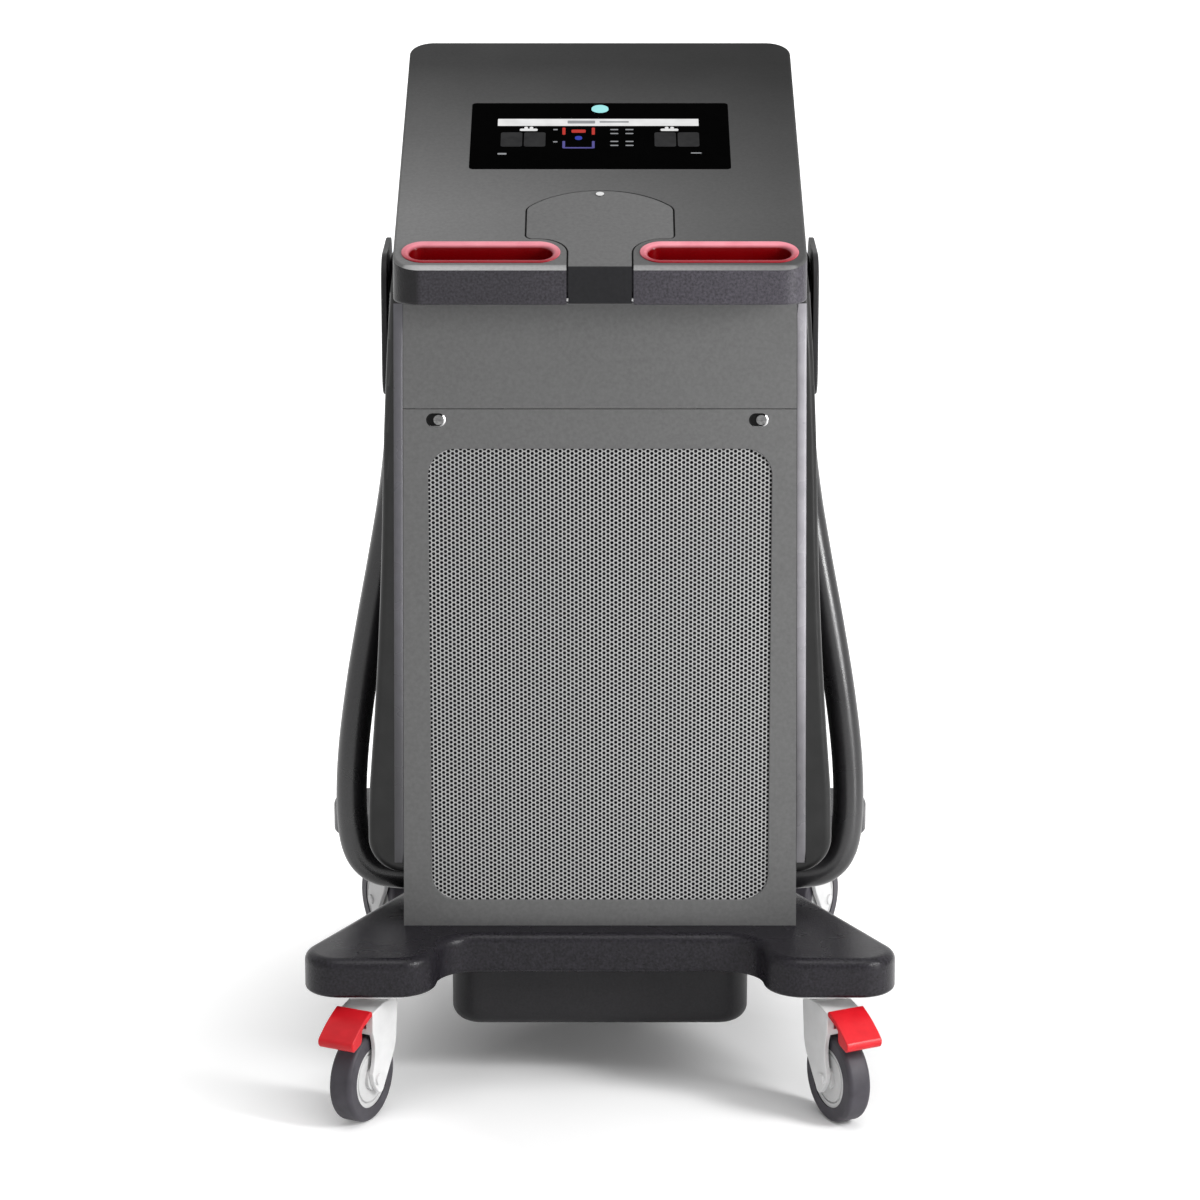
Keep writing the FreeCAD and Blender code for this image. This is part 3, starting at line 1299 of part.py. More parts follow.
def make_hoses():
    """The two hoses and the couplings at their free ends."""
    radius = size("hose_radius")
    for name, side in both_sides():
        spots = [Vector(side * spot.x, spot.y, spot.z) for spot in hose_route()]
        line, radii = hose_line(spots)
        ring = Part.Wire(Part.Circle(spots[0], spots[1] - spots[0], radius).toShape())
        tube = line.makePipeShell([ring], True, False)
        plain_part("hose_" + name, tube)
        share = tube.Volume / (math.pi * radius ** 2 * line.Length)
        print(f"hose {name}: length {line.Length:.0f}, volume over section times length "
              f"{share:.4f}, radii " + " ".join(f"{value:.0f}" for value in radii))
        make_connector(name, spots[-1], spots[-1] - spots[-2])


def make_connector(name, spot, direction):
    """Coupling at a hose's end with two nozzles, hanging in line with the hose."""
    length, wide = size("connector_length"), size("connector_x")
    deep, corner = size("connector_y"), size("connector_round")
    block = Part.makeBox(wide, deep, length, Vector(-wide / 2, -deep / 2, 0))
    block = block.makeFillet(corner, [edge for edge in block.Edges if edge.BoundBox.ZLength > 1])
    ends = [edge for edge in block.Edges if edge.BoundBox.ZLength < 0.01]
    block = block.makeFillet(size("connector_edge"), ends)
    for step in (-1, 1):
        start = Vector(0, step * size("nozzle_spread"), length)
        nozzle = Part.makeCylinder(size("nozzle_radius"), size("nozzle_length"), start)
        block = block.fuse(nozzle)
    turn = Rotation(Vector(1, 0, 0), Vector(), direction, "ZXY")
    plain_part("hose_connector_" + name, block.removeSplitter(), Placement(spot, turn))


# ---- rear fittings ----

def make_mains_module():
    """Mains inlet and the housing of the rocker switch in one flanged block."""
    body = new_body("mains_inlet", "module_x", "wall_y", "module_z")
    flange = rounded("0", "0", "module_wide", "module_high", "module_rim")
    pad(body, outline(sketch_on(body, "XZ_Plane", "-module_lip"), flange), "module_lip")
    block = rounded("0", "0", "module_wide - 2 * module_rim", "module_high - 2 * module_rim",
                    "module_round")
    pad(body, outline(sketch_on(body, "XZ_Plane"), block), "module_deep")
    socket = rounded("-socket_off", "0", "socket_wide", "socket_high", "socket_round")
    pocket(body, outline(sketch_on(body, "XZ_Plane", "-module_lip"), socket), "socket_deep",
           reverse=True)
    well = rounded("switch_off", "0", "switch_wide + 2 * switch_gap",
                   "switch_high + 2 * switch_gap", "switch_round")
    pocket(body, outline(sketch_on(body, "XZ_Plane", "-module_lip"), well),
           "2 * switch_deep + module_lip", reverse=True)
    axle = disc(sketch_on(body, "YZ_Plane", "switch_off"), "-switch_axle_deep", "0", "switch_axle")
    pad(body, axle, "switch_wide + 2 * switch_axle_end", both_ways=True)


def make_switch():
    body = new_body("power_switch", "module_x + switch_off", "wall_y", "module_z")
    half = "(switch_high / 2)"
    rocker = [("-switch_deep", f"-{half} + switch_taper"), ("switch_brow", f"-{half}"),
              ("switch_horn", f"-{half} + switch_round"), ("switch_dip", "0"),
              ("switch_horn", f"{half} - switch_round"), ("switch_brow", half),
              ("-switch_deep", f"{half} - switch_taper")]
    pad(body, outline(sketch_on(body, "YZ_Plane"), rocker), "switch_wide", both_ways=True)
    bore = disc(sketch_on(body, "YZ_Plane"), "-switch_axle_deep", "0", "switch_axle + running_gap")
    pocket(body, bore, "switch_wide", both_ways=True)


# ---- machinery inside ----

def make_cold_reservoir():
    """Water tank with its filler neck and the basin under the lid."""
    body = new_body("cold_reservoir")
    middle = "(-tank_front + tank_depth / 2)"
    block = rounded("0", middle, "2 * tank_half", "tank_depth", "tank_round")
    pad(body, outline(sketch_on(body, "XY_Plane", SHELF_TOP), block), "tank_high")
    ceiling = f"({SHELF_TOP} + tank_high - tank_wall)"
    basin_top = f"({console_top('(-neck_y)')} - basin_drop)"
    neck = disc(sketch_on(body, "XY_Plane", ceiling), "0", "-neck_y", "neck_radius")
    pad(body, neck, f"{basin_top} - {ceiling}")
    basin = rounded("0", "-neck_y", "2 * basin_half", "basin_depth", "basin_round")
    pad(body, outline(sketch_on(body, "XY_Plane", f"{basin_top} - basin_wall"), basin),
        "basin_wall")
    room = rounded("0", middle, "2 * tank_half - 2 * tank_wall", "tank_depth - 2 * tank_wall",
                   "(tank_round - tank_wall)")
    pocket(body, outline(sketch_on(body, "XY_Plane", ceiling), room), "tank_high - 2 * tank_wall")
    throat = disc(sketch_on(body, "XY_Plane", f"{basin_top} + beyond"), "0", "-neck_y",
                  "neck_radius - neck_wall")
    pocket(body, throat, f"{basin_top} + beyond - {ceiling} + tank_wall")


def make_hot_tank():
    body = new_body("hot_tank", "hot_x", "hot_y", SHELF_TOP)
    radius, high, neck_high = "hot_radius", "hot_high", "(hot_high + hot_neck_high)"
    section = [(radius, "0"), (radius, f"{high} - hot_shoulder"),
               (f"{radius} - hot_shoulder", high, "hot_shoulder", LEFT),
               ("hot_neck", high), ("hot_neck", neck_high), ("0", neck_high), ("0", "0")]
    spin(body, outline(sketch_on(body, "XZ_Plane"), section))


def make_pumps():
    """Two circulation pumps, one solid each, in one node."""
    radius, floor = size("pump_radius"), size(SHELF_TOP)
    base_high, motor_high = size("pump_base_high"), size("pump_motor_high")
    head_high, spout_radius = size("pump_head_high"), size("pump_spout")
    head_low = base_high + motor_high
    pumps = []
    for number in (0, 1):
        spot = Vector(-size("pump_x"), size("pump_y") + number * size("pump_pitch"), floor)
        base = Part.makeBox(radius * 2, radius * 2, base_high, spot - Vector(radius, radius, 0))
        motor = Part.makeCylinder(size("pump_motor"), motor_high, spot + Vector(0, 0, base_high))
        head = Part.makeCylinder(radius, head_high, spot + Vector(0, 0, head_low))
        spout = Part.makeCylinder(spout_radius, size("pump_spout_reach"),
                                  spot + Vector(0, 0, head_low + head_high / 2), Vector(1, 0, 0))
        pumps.append(base.fuse([motor, head, spout]).removeSplitter())
    plain_part("circulation_pumps", Part.makeCompound(pumps))


def make_manifold():
    """Valve block with a row of solenoids on it."""
    body = new_body("valve_manifold", "0", "manifold_y", SHELF_TOP)
    block = rounded("0", "0", "manifold_length", "manifold_wide", "manifold_round")
    pad(body, outline(sketch_on(body, "XY_Plane"), block), "manifold_high")
    first = "(-manifold_length / 2 + valve_inset)"
    coil = disc(sketch_on(body, "XY_Plane", "manifold_high"), first, "0", "valve_radius")
    solenoid = pad(body, coil, "valve_high")
    copies(body, solenoid, "X_Axis", "(manifold_length - 2 * valve_inset) / (valve_count - 1)",
           "valve_count")


def make_condenser():
    """Coil block with a groove between each two banks of fins."""
    body = new_body("condenser", y="-coil_front", z=DECK_TOP)
    plan = box_corners("-coil_width / 2", "coil_width / 2", "0", "coil_deep")
    pad(body, outline(sketch_on(body, "XY_Plane"), plan), "coil_high")
    band = box_corners("-coil_width / 2 + coil_frame", "coil_width / 2 - coil_frame",
                       "fin_start", "fin_start + fin_groove")
    groove = pocket(body, outline(sketch_on(body, "XZ_Plane"), band), "fin_deep", reverse=True)
    copies(body, groove, "Z_Axis", "(coil_high - 2 * fin_start - fin_groove) / (fin_count - 1)",
           "fin_count")


def make_fan():
    """Shroud with its motor on four spokes, and the rotor on the motor's shaft."""
    body = new_body("fan_shroud", y="-fan_y")
    middle, spoke = "(fan_z)", "(-shroud_deep / 2)"
    frame = box_corners("-shroud_width / 2", "shroud_width / 2", DECK_TOP,
                        f"{DECK_TOP} + shroud_high")
    pad(body, outline(sketch_on(body, "XZ_Plane"), frame), "shroud_deep", both_ways=True)
    mouth = disc(sketch_on(body, "XZ_Plane"), "0", middle, "fan_radius + fan_tip_gap")
    pocket(body, mouth, "shroud_deep", both_ways=True)
    reach = "2 * (fan_radius + spoke_seat)"
    for width, height in ((reach, "spoke_wide"), ("spoke_wide", reach)):
        bar = box_corners(f"-({width}) / 2", f"({width}) / 2",
                          f"fan_z - ({height}) / 2", f"fan_z + ({height}) / 2")
        pad(body, outline(sketch_on(body, "XZ_Plane", spoke), bar), "spoke_thick")
    motor = disc(sketch_on(body, "XZ_Plane", f"{spoke} - fan_motor_deep"), "0", middle, "fan_hub")
    pad(body, motor, "fan_motor_deep + spoke_thick")
    shaft = disc(sketch_on(body, "XZ_Plane", spoke), "0", middle, "fan_shaft")
    pad(body, shaft, "spoke_thick + fan_deep")
    make_fan_rotor()


def make_fan_rotor():
    """Hub with five slanted blades, just ahead of the spokes."""
    back = "(fan_y - shroud_deep / 2 + spoke_thick + fit_gap)"
    body = new_body("fan_rotor", y=f"-{back}", z="fan_z")
    hub = disc(sketch_on(body, "XZ_Plane"), "0", "0", "fan_hub - fan_hub_gap")
    pad(body, hub, "fan_deep - fan_hub_step")
    far = "(-fan_deep + 3 * blade_thick)"
    blade = [("0", "-blade_thick / 2"), ("-blade_sweep", far),
             ("-blade_sweep + blade_thick", f"{far} - blade_thick"),
             ("blade_thick", "-2 * blade_thick")]
    root = sketch_on(body, "XY_Plane", "fan_hub - blade_root")
    wing = pad(body, outline(root, blade), "fan_radius - fan_hub + blade_root")
    ring_of(body, wing, "Y_Axis", "blade_count")
    bore = disc(sketch_on(body, "XZ_Plane", "fan_deep"), "0", "0", "fan_shaft + running_gap")
    pocket(body, bore, "2 * fan_deep")


def make_compressor():
    body = new_body("compressor", "compressor_x", "compressor_y", DECK_TOP)
    radius, low, high = "compressor_radius", "foot_high", "(foot_high + compressor_high)"
    below, above = "compressor_low_round", "compressor_top_round"
    section = [("0", low), (f"{radius} - {below}", low), (radius, f"{low} + {below}", below, LEFT),
               (radius, f"{high} - {above}"), (f"{radius} - {above}", high, above, LEFT),
               ("0", high)]
    spin(body, outline(sketch_on(body, "XZ_Plane"), section))
    foot = disc(sketch_on(body, "XY_Plane"), f"{radius} - foot_inset", "0", "foot_radius")
    post = pad(body, foot, "foot_high + foot_sunk")
    ring_of(body, post, "Z_Axis", "foot_count")


def make_air_pump():
    body = new_body("air_pump", "-air_pump_wide", "air_pump_deep / 2", DECK_TOP)
    block = rounded("0", "0", "air_pump_wide", "air_pump_deep", "air_pump_round")
    pad(body, outline(sketch_on(body, "XY_Plane"), block), "air_pump_high")
    head = disc(sketch_on(body, "XY_Plane", "air_pump_high"), "0", "-air_pump_deep / 4", "air_head")
    pad(body, head, "air_head_high")


def make_power_supply():
    body = new_body("power_supply", "supply_x", "wall_y - supply_back", DECK_TOP)
    block = box_corners("-supply_wide / 2", "supply_wide / 2", "-supply_deep / 2", "supply_deep / 2")
    pad(body, outline(sketch_on(body, "XY_Plane"), block), "supply_high")
    vent = stadium("0", "(-supply_deep / 2 + supply_slit_inset)",
                   "supply_wide - 2 * supply_slit_inset", "supply_slit")
    top = sketch_on(body, "XY_Plane", "supply_high")
    slit = pocket(body, outline(top, vent), "supply_slit_deep")
    copies(body, slit, "Y_Axis", "supply_slit_pitch", "supply_slit_count")


def make_control_board():
    """Circuit board on four posts that stand on the rear wall's inner face."""
    body = new_body("control_board", y=WALL_IN, z="board_z")
    board = rounded("0", "0", "board_width", "board_high", "board_round")
    pad(body, outline(sketch_on(body, "XZ_Plane", "board_off"), board), "board_thick")
    for level in (-1, 1):
        post = disc(sketch_on(body, "XZ_Plane"), "board_width / 2 - board_post_inset",
                    f"{level} * (board_high / 2 - board_post_inset)", "board_post")
        stand = pad(body, post, "board_off")
        mirror_across(body, stand, "YZ_Plane")
    chip = rounded("0", "0", "chip_wide", "chip_high", "chip_round")
    pad(body, outline(sketch_on(body, "XZ_Plane", "board_off + board_thick"), chip), "chip_thick")


# ---- the whole cart ----

def build_all():
    make_deck()
    make_tub()
    make_caster_stems()
    for caster in CASTERS:
        make_fork(*caster)
        make_pedal(*caster)
        make_tyre(*caster)
        make_hub(*caster)
    make_front_band()
    make_front_panel()
    make_grille()
    make_rear_panel()
    make_shelf()
    make_console()
    make_handle_bar()
    make_lid()
    make_lid_catch()
    make_hinge_pin()
    make_display()
    make_button()
    for name, side in both_sides():
        make_latch(name, side)
        make_side_panel(name, side)
        make_side_cover(name, side)
        make_slot_liner(name, side)
        make_hook(name, side)
    make_ports()
    make_hoses()
    make_mains_module()
    make_switch()
    make_cold_reservoir()
    make_hot_tank()
    make_pumps()
    make_manifold()
    make_condenser()
    make_fan()
    make_compressor()
    make_air_pump()
    make_power_supply()
    make_control_board()


def check_all():
    """Stops if any object failed or any sub-part has no sound shape."""
    failed = [item.Name for item in doc.Objects
              if "Invalid" in item.State or "Error" in item.State]
    failed += [part.Label for part in parts
               if part.Shape.isNull() or not part.Shape.isValid()]
    if failed:
        raise RuntimeError("not sound: " + ", ".join(failed))


build_all()
doc.recompute()
check_all()
os.makedirs("parts", exist_ok=True)
for part in parts:
    part.Shape.exportStep(os.path.join("parts", part.Label + ".step"))
print(f"{len(parts)} sub-parts written")
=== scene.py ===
import json
import math

import bpy
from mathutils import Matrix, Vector


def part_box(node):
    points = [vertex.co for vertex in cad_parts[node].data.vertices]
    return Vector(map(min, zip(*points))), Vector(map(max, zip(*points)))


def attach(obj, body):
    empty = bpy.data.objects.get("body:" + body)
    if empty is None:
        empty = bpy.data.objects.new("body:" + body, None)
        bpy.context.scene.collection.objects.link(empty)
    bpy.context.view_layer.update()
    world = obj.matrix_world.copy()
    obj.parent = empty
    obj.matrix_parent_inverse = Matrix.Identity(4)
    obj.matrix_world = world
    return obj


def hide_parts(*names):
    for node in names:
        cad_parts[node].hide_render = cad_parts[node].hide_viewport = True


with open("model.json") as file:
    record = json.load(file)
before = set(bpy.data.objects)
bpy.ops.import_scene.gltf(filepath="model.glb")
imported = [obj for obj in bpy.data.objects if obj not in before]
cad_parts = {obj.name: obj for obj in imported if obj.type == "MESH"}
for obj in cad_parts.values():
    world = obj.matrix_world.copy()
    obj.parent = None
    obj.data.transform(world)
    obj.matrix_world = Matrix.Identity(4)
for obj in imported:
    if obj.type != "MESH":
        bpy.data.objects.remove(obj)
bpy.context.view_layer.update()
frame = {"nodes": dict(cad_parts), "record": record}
nodes = frame["nodes"]

# Lengths are in metres, apart from the profiles and tables that say millimetres.
MM = 0.001


def middle(name):
    """The middle of a node's box."""
    low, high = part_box(name)
    return [(start + end) / 2 for start, end in zip(low, high)]


FRONT_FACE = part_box("front_panel")[0][1]
REAR_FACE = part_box("rear_panel")[1][1]
SIDE_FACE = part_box("side_panel_right")[1][0]

# The console's upper face: a plane that rises towards the back from the handle bar's front edge.
SLOPE = math.radians(17)
SLOPE_FOOT = 0.947
SLOPE_START = Vector((0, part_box("console_shell")[0][1], SLOPE_FOOT))
SLOPE_UP = Vector((0, math.cos(SLOPE), math.sin(SLOPE)))
SLOPE_OUT = Vector((0, -math.sin(SLOPE), math.cos(SLOPE)))


def on_slope(x, up, out):
    """A place on the console's top, in millimetres across, up the slope and out of it."""
    return SLOPE_START + MM * (Vector((x, 0, 0)) + up * SLOPE_UP + out * SLOPE_OUT)


def link_object(name, data):
    thing = bpy.data.objects.new(name, data)
    bpy.context.scene.collection.objects.link(thing)
    return thing


# ---- camera ----

# It stands straight in front of the cart, above it, and looks down on it.
CAMERA_PLACE = (0, -4.9365, 1.834)
CAMERA_DOWN = 15                # in degrees
CAMERA_LENS, CAMERA_SENSOR = 134.2, 36      # in millimetres


def add_camera():
    data = bpy.data.cameras.new("camera")
    data.sensor_width = CAMERA_SENSOR
    data.lens = CAMERA_LENS
    camera = link_object("camera", data)
    camera.location = CAMERA_PLACE
    camera.rotation_euler = (math.radians(90 - CAMERA_DOWN), 0, 0)
    bpy.context.scene.camera = camera


# ---- hoses ----

HOSE_DIAMETER = 0.035
HOSE_STEPS_ALONG, HOSE_STEPS_ROUND = 12, 8
HOSE_ROUTE = [
    (0.2140, -0.0900, 0.2130), (0.2360, -0.0900, 0.2130), (0.2610, -0.0895, 0.2200),
    (0.2770, -0.0880, 0.2410), (0.2830, -0.0840, 0.2810), (0.2815, -0.0770, 0.3450),
    (0.2725, -0.0630, 0.4200), (0.2595, -0.0430, 0.4960), (0.2450, -0.0210, 0.5720),
    (0.2315, -0.0030, 0.6500), (0.2230, 0.0100, 0.7400),
    (0.2215, 0.0185, 0.8539), (0.2215, 0.0945, 0.8978), (0.2215, 0.1705, 0.8539),
    (0.2220, 0.1720, 0.7520), (0.2235, 0.1695, 0.6400), (0.2220, 0.1705, 0.5250),
    (0.2225, 0.1695, 0.4100)]


def add_hose(name, side, finish):
    """A hose along its route, as a smooth curve with a round section."""
    curve = bpy.data.curves.new("hose_line_" + name, "CURVE")
    curve.dimensions = "3D"
    spline = curve.splines.new("NURBS")
    spline.points.add(len(HOSE_ROUTE) - 1)
    for point, (x, y, z) in zip(spline.points, HOSE_ROUTE):
        point.co = (side * x, y, z, 1)
    spline.order_u = 3
    spline.use_endpoint_u = True
    spline.resolution_u = HOSE_STEPS_ALONG
    curve.bevel_depth = HOSE_DIAMETER / 2
    curve.bevel_resolution = HOSE_STEPS_ROUND
    curve.use_fill_caps = True
    curve.materials.append(finish)
    hose = link_object("hose_line_" + name, curve)
    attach(hose, "cart")
    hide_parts("hose_" + name)


# ---- materials ----

ACROSS, BACK, UP = (1, 0, 0), (0, 1, 0), (0, 0, 1)
NOISE_LOW, NOISE_HIGH = 0.3, 0.7        # nearly all of a noise's values lie between these


def rgb(value):
    """A colour as it is, or a plain grey from one number."""
    return value if isinstance(value, tuple) else (value, value, value)


def grey(value, violet=0.0):
    """A grey with a little violet in it."""
    return (value * (1 + violet * 0.4), value, value * (1 + violet))


class Finish:
    """A node material built step by step round one Principled shader."""

    def __init__(self, name):
        self.material = bpy.data.materials.new(name)
        self.material.use_nodes = True
        self.tree = self.material.node_tree
        self.shader = self.tree.nodes["Principled BSDF"]
        self.place = self.node("ShaderNodeTexCoord").outputs["Object"]

    def node(self, kind, **settings):
        node = self.tree.nodes.new(kind)
        for key, value in settings.items():
            setattr(node, key, value)
        return node

    def link(self, source, target):
        self.tree.links.new(source, target)

    def noise(self, scale, detail=3):
        """Smooth noise over the object, in cycles a metre."""
        noise = self.node("ShaderNodeTexNoise")
        noise.inputs["Scale"].default_value = scale
        noise.inputs["Detail"].default_value = detail
        self.link(self.place, noise.inputs["Vector"])
        return noise.outputs["Fac"]

    def cells(self, scale):
        """Rounded cells over the object, in cells a metre."""
        voronoi = self.node("ShaderNodeTexVoronoi")
        voronoi.inputs["Scale"].default_value = scale
        self.link(self.place, voronoi.inputs["Vector"])
        return voronoi.outputs["Distance"]

    def map_range(self, source, start, end, low=0.0, high=1.0):
        """Maps start to end onto low to high."""
        ranged = self.node("ShaderNodeMapRange")
        settings = {"From Min": start, "From Max": end, "To Min": low, "To Max": high}
        for key, value in settings.items():
            ranged.inputs[key].default_value = value
        self.link(source, ranged.inputs["Value"])
        return ranged.outputs["Result"]

    def along(self, axis, start, end):
        """How far a place is along an axis: 0 at start and 1 at end."""
        dot = self.node("ShaderNodeVectorMath", operation="DOT_PRODUCT")
        dot.inputs[1].default_value = axis
        self.link(self.place, dot.inputs[0])
        return self.map_range(dot.outputs["Value"], start, end)

    def ramp(self, source, stops):
        """Two colours, each at its position, and the mix of them in between."""
        ramp = self.node("ShaderNodeValToRGB")
        for element, (position, colour) in zip(ramp.color_ramp.elements, stops):
            element.position = position
            element.color = (*colour, 1)
        self.link(source, ramp.inputs["Fac"])
        return ramp.outputs["Color"]

    def tint(self, source, low, high):
        """Multiplies the base colour, by low where the source is 0 and high where it is 1."""
        base = self.shader.inputs["Base Color"]
        mix = self.node("ShaderNodeMix", data_type="RGBA", blend_type="MULTIPLY")
        mix.inputs["Factor"].default_value = 1
        self.link(base.links[0].from_socket, mix.inputs["A"])
        self.link(self.ramp(source, [(0, rgb(low)), (1, rgb(high))]), mix.inputs["B"])
        self.link(mix.outputs["Result"], base)

    def colour(self, source, dark, light):
        ramp = self.ramp(source, [(NOISE_LOW, dark), (NOISE_HIGH, light)])
        self.link(ramp, self.shader.inputs["Base Color"])

    def rough(self, source, low, high):
        spread = self.map_range(source, NOISE_LOW, NOISE_HIGH, low, high)
        self.link(spread, self.shader.inputs["Roughness"])

    def bump(self, source, strength, depth):
        """Adds a relief on top of those that are already there."""
        bump = self.node("ShaderNodeBump")
        bump.inputs["Strength"].default_value = strength
        bump.inputs["Distance"].default_value = depth
        self.link(source, bump.inputs["Height"])
        below = self.shader.inputs["Normal"]
        if below.is_linked:
            self.link(below.links[0].from_socket, bump.inputs["Normal"])
        self.link(bump.outputs["Normal"], below)

    def set(self, **values):
        for key, value in values.items():
            self.shader.inputs[key.replace("_", " ")].default_value = value


def paint(name, dark, light, rough, relief, shine):
    """Sprayed paint with a fine speckle, patchy gloss and a shallow relief."""
    finish = Finish(name)
    finish.colour(finish.noise(260, 4), grey(dark), grey(light))
    finish.rough(finish.noise(9), *rough)
    finish.bump(finish.noise(1100, 2), relief, 0.2 * MM)
    finish.set(Specular_IOR_Level=shine)
    return finish


def moulding(name, dark, light, rough, relief=0.06, speckle=40):
    """Smooth moulded plastic."""
    finish = Finish(name)
    finish.colour(finish.noise(speckle, 4), dark, light)
    finish.rough(finish.noise(22), *rough)
    finish.bump(finish.noise(420, 2), relief, 0.2 * MM)
    return finish


def powder_coat(name, dark, light, rough):
    """Fine textured paint on sheet metal."""
    return paint(name, dark, light, (rough - 0.05, rough + 0.06), 0.25, 0.3).material


def smooth_plastic(name, dark, light, rough, coat=0.0, shine=0.5):
    """Plain smooth plastic or rubber."""
    finish = moulding(name, dark, light, (rough - 0.04, rough + 0.06))
    finish.set(Coat_Weight=coat, Coat_Roughness=0.15, Specular_IOR_Level=shine)
    return finish.material


def grained(name, dark, light, rough, grain, relief, violet=0.1, shine=0.3):
    """Moulded plastic with a leather-like grain, in cells a metre."""
    finish = Finish(name)
    finish.colour(finish.noise(grain * 0.6, 4), grey(dark, violet), grey(light, violet))
    finish.rough(finish.noise(14), rough - 0.06, rough + 0.08)
    finish.bump(finish.cells(grain), relief, 0.4 * MM)
    finish.bump(finish.noise(grain * 2.2, 2), relief * 0.5, 0.3 * MM)
    finish.set(Specular_IOR_Level=shine)
    return finish.material


def metal(name, dark, light, rough):
    """Bare metal with a fine unevenness in its colour and gloss."""
    finish = Finish(name)
    finish.colour(finish.noise(300, 4), grey(dark), grey(light))
    finish.rough(finish.noise(90), rough - 0.07, rough + 0.1)
    finish.bump(finish.noise(450, 2), 0.08, 0.2 * MM)
    finish.set(Metallic=1.0)
    return finish.material


def console_paint_and_painted_light():
    """Soft paint with painted light: a painted highlight on the lip over the bar, and painted
    shade towards the screen and the right.
    """
    finish = paint("console_paint_and_painted_light", 0.38, 0.44, (0.42, 0.52), 0.2, 0.06)
    front = SLOPE_START.dot(SLOPE_UP)
    # Painted highlight: the first few millimetres of the lip keep the pale colour, and the rest
    # is darkened.
    finish.tint(finish.along(SLOPE_UP, front + 3.5 * MM, front + 6 * MM), 1, 0.46)
    # Painted shade: darker towards the back, where the sheen falls off.
    finish.tint(finish.along(BACK, -0.14, 0.22), 1, 0.2)
    # Painted shade: darker towards the right.
    finish.tint(finish.along(ACROSS, -0.2, 0.2), 1, 0.4)
    return finish.material


def lid_paint_and_painted_shade():
    """The console's paint, with painted shade darkening the upright lip that hangs over the bar.
    """
    finish = paint("lid_paint_and_painted_shade", 0.135, 0.162, (0.42, 0.52), 0.2, 0.06)
    lip = SLOPE_START.y
    # Painted shade on the lip's upright front face.
    finish.tint(finish.along(BACK, lip + 1 * MM, lip + 3 * MM), (0.13, 0.13, 0.14), 1)
    return finish.material


def liner_plastic_and_painted_light():
    """Red plastic, pale pink on its rounded rim as a painted highlight, with painted shade deep
    inside the hand slot and towards its front.
    """
    # The pale pink base is a painted highlight on the rim.
    finish = moulding("liner_plastic_and_painted_light", (0.80, 0.26, 0.32), (0.90, 0.34, 0.40), (0.22, 0.32), 0.05)
    top, front = SLOPE_START.dot(SLOPE_OUT), SLOPE_START.dot(SLOPE_UP)
    # Painted shade: darker deep inside the slot.
    finish.tint(finish.along(SLOPE_OUT, top - 2 * MM, top + 1 * MM), (0.20, 0.0, 0.004), 1)
    # Painted shade: darker towards the slot's front, where the rim has no highlight.
    finish.tint(finish.along(SLOPE_UP, front + 12 * MM, front + 50 * MM), (0.36, 0.04, 0.06), 1)
    finish.set(Coat_Weight=0.08, Coat_Roughness=0.12, Specular_IOR_Level=0.08)
    return finish.material


def bar_plastic_and_painted_shade():
    """Grained moulding of the handle bar, with painted shade that darkens it towards its left end
    and most on the left corner.
    """
    finish = Finish("bar_plastic_and_painted_shade")
    finish.colour(finish.noise(370, 4), grey(0.024, 0.22), grey(0.064, 0.22))
    # Painted shade: darker towards the left, away from the light.
    finish.tint(finish.along(ACROSS, -0.1, 0.15), 0.55, 1)
    # Painted shade on the left corner.
    finish.tint(finish.along(ACROSS, -0.196, -0.190), 0.2, 1)
    finish.rough(finish.noise(14), 0.34, 0.46)
    finish.bump(finish.cells(620), 0.6, 0.4 * MM)
    finish.bump(finish.noise(1360, 2), 0.3, 0.3 * MM)
    finish.set(Specular_IOR_Level=0.25)
    return finish.material


def edge_grey_and_painted_light():
    """Satin grey of the edge beads, partly a painted highlight along the covers' front edge, with
    painted shade low down and on the left.
    """
    # The grey is partly a real satin grey and partly a painted highlight.
    finish = moulding("edge_grey_and_painted_light", grey(0.24, 0.08), grey(0.30, 0.08), (0.24, 0.34), 0.05, 60)
    # Painted shade: darker low down, where the highlight fades.
    finish.tint(finish.along(UP, 0.36, 0.56), 0.4, 1)
    # Painted shade: darker on the left, away from the light.
    finish.tint(finish.along(ACROSS, -0.2, 0.2), (0.25, 0.25, 0.27), 1)
    return finish.material


def screen_glass():
    """Black glass with an even matt coat against reflections."""
    finish = Finish("screen_glass")
    finish.colour(finish.noise(80), grey(0.0002), grey(0.0005))
    finish.rough(finish.noise(22), 0.20, 0.26)
    finish.set(Specular_IOR_Level=0.001)
    return finish.material


def screen_light(name, colour, strength=1.0):
    """A lit patch of the screen, with the faint unevenness of its backlight."""
    finish = Finish(name)
    dimmer = [0.8 * part for part in colour]
    lit = finish.ramp(finish.noise(60, 2), [(0.2, dimmer), (0.8, colour)])
    finish.link(lit, finish.shader.inputs["Emission Color"])
    finish.set(Emission_Strength=strength, Roughness=0.2, Specular_IOR_Level=0.004)
    finish.colour(finish.noise(80), grey(0.01), grey(0.02))
    return finish.material


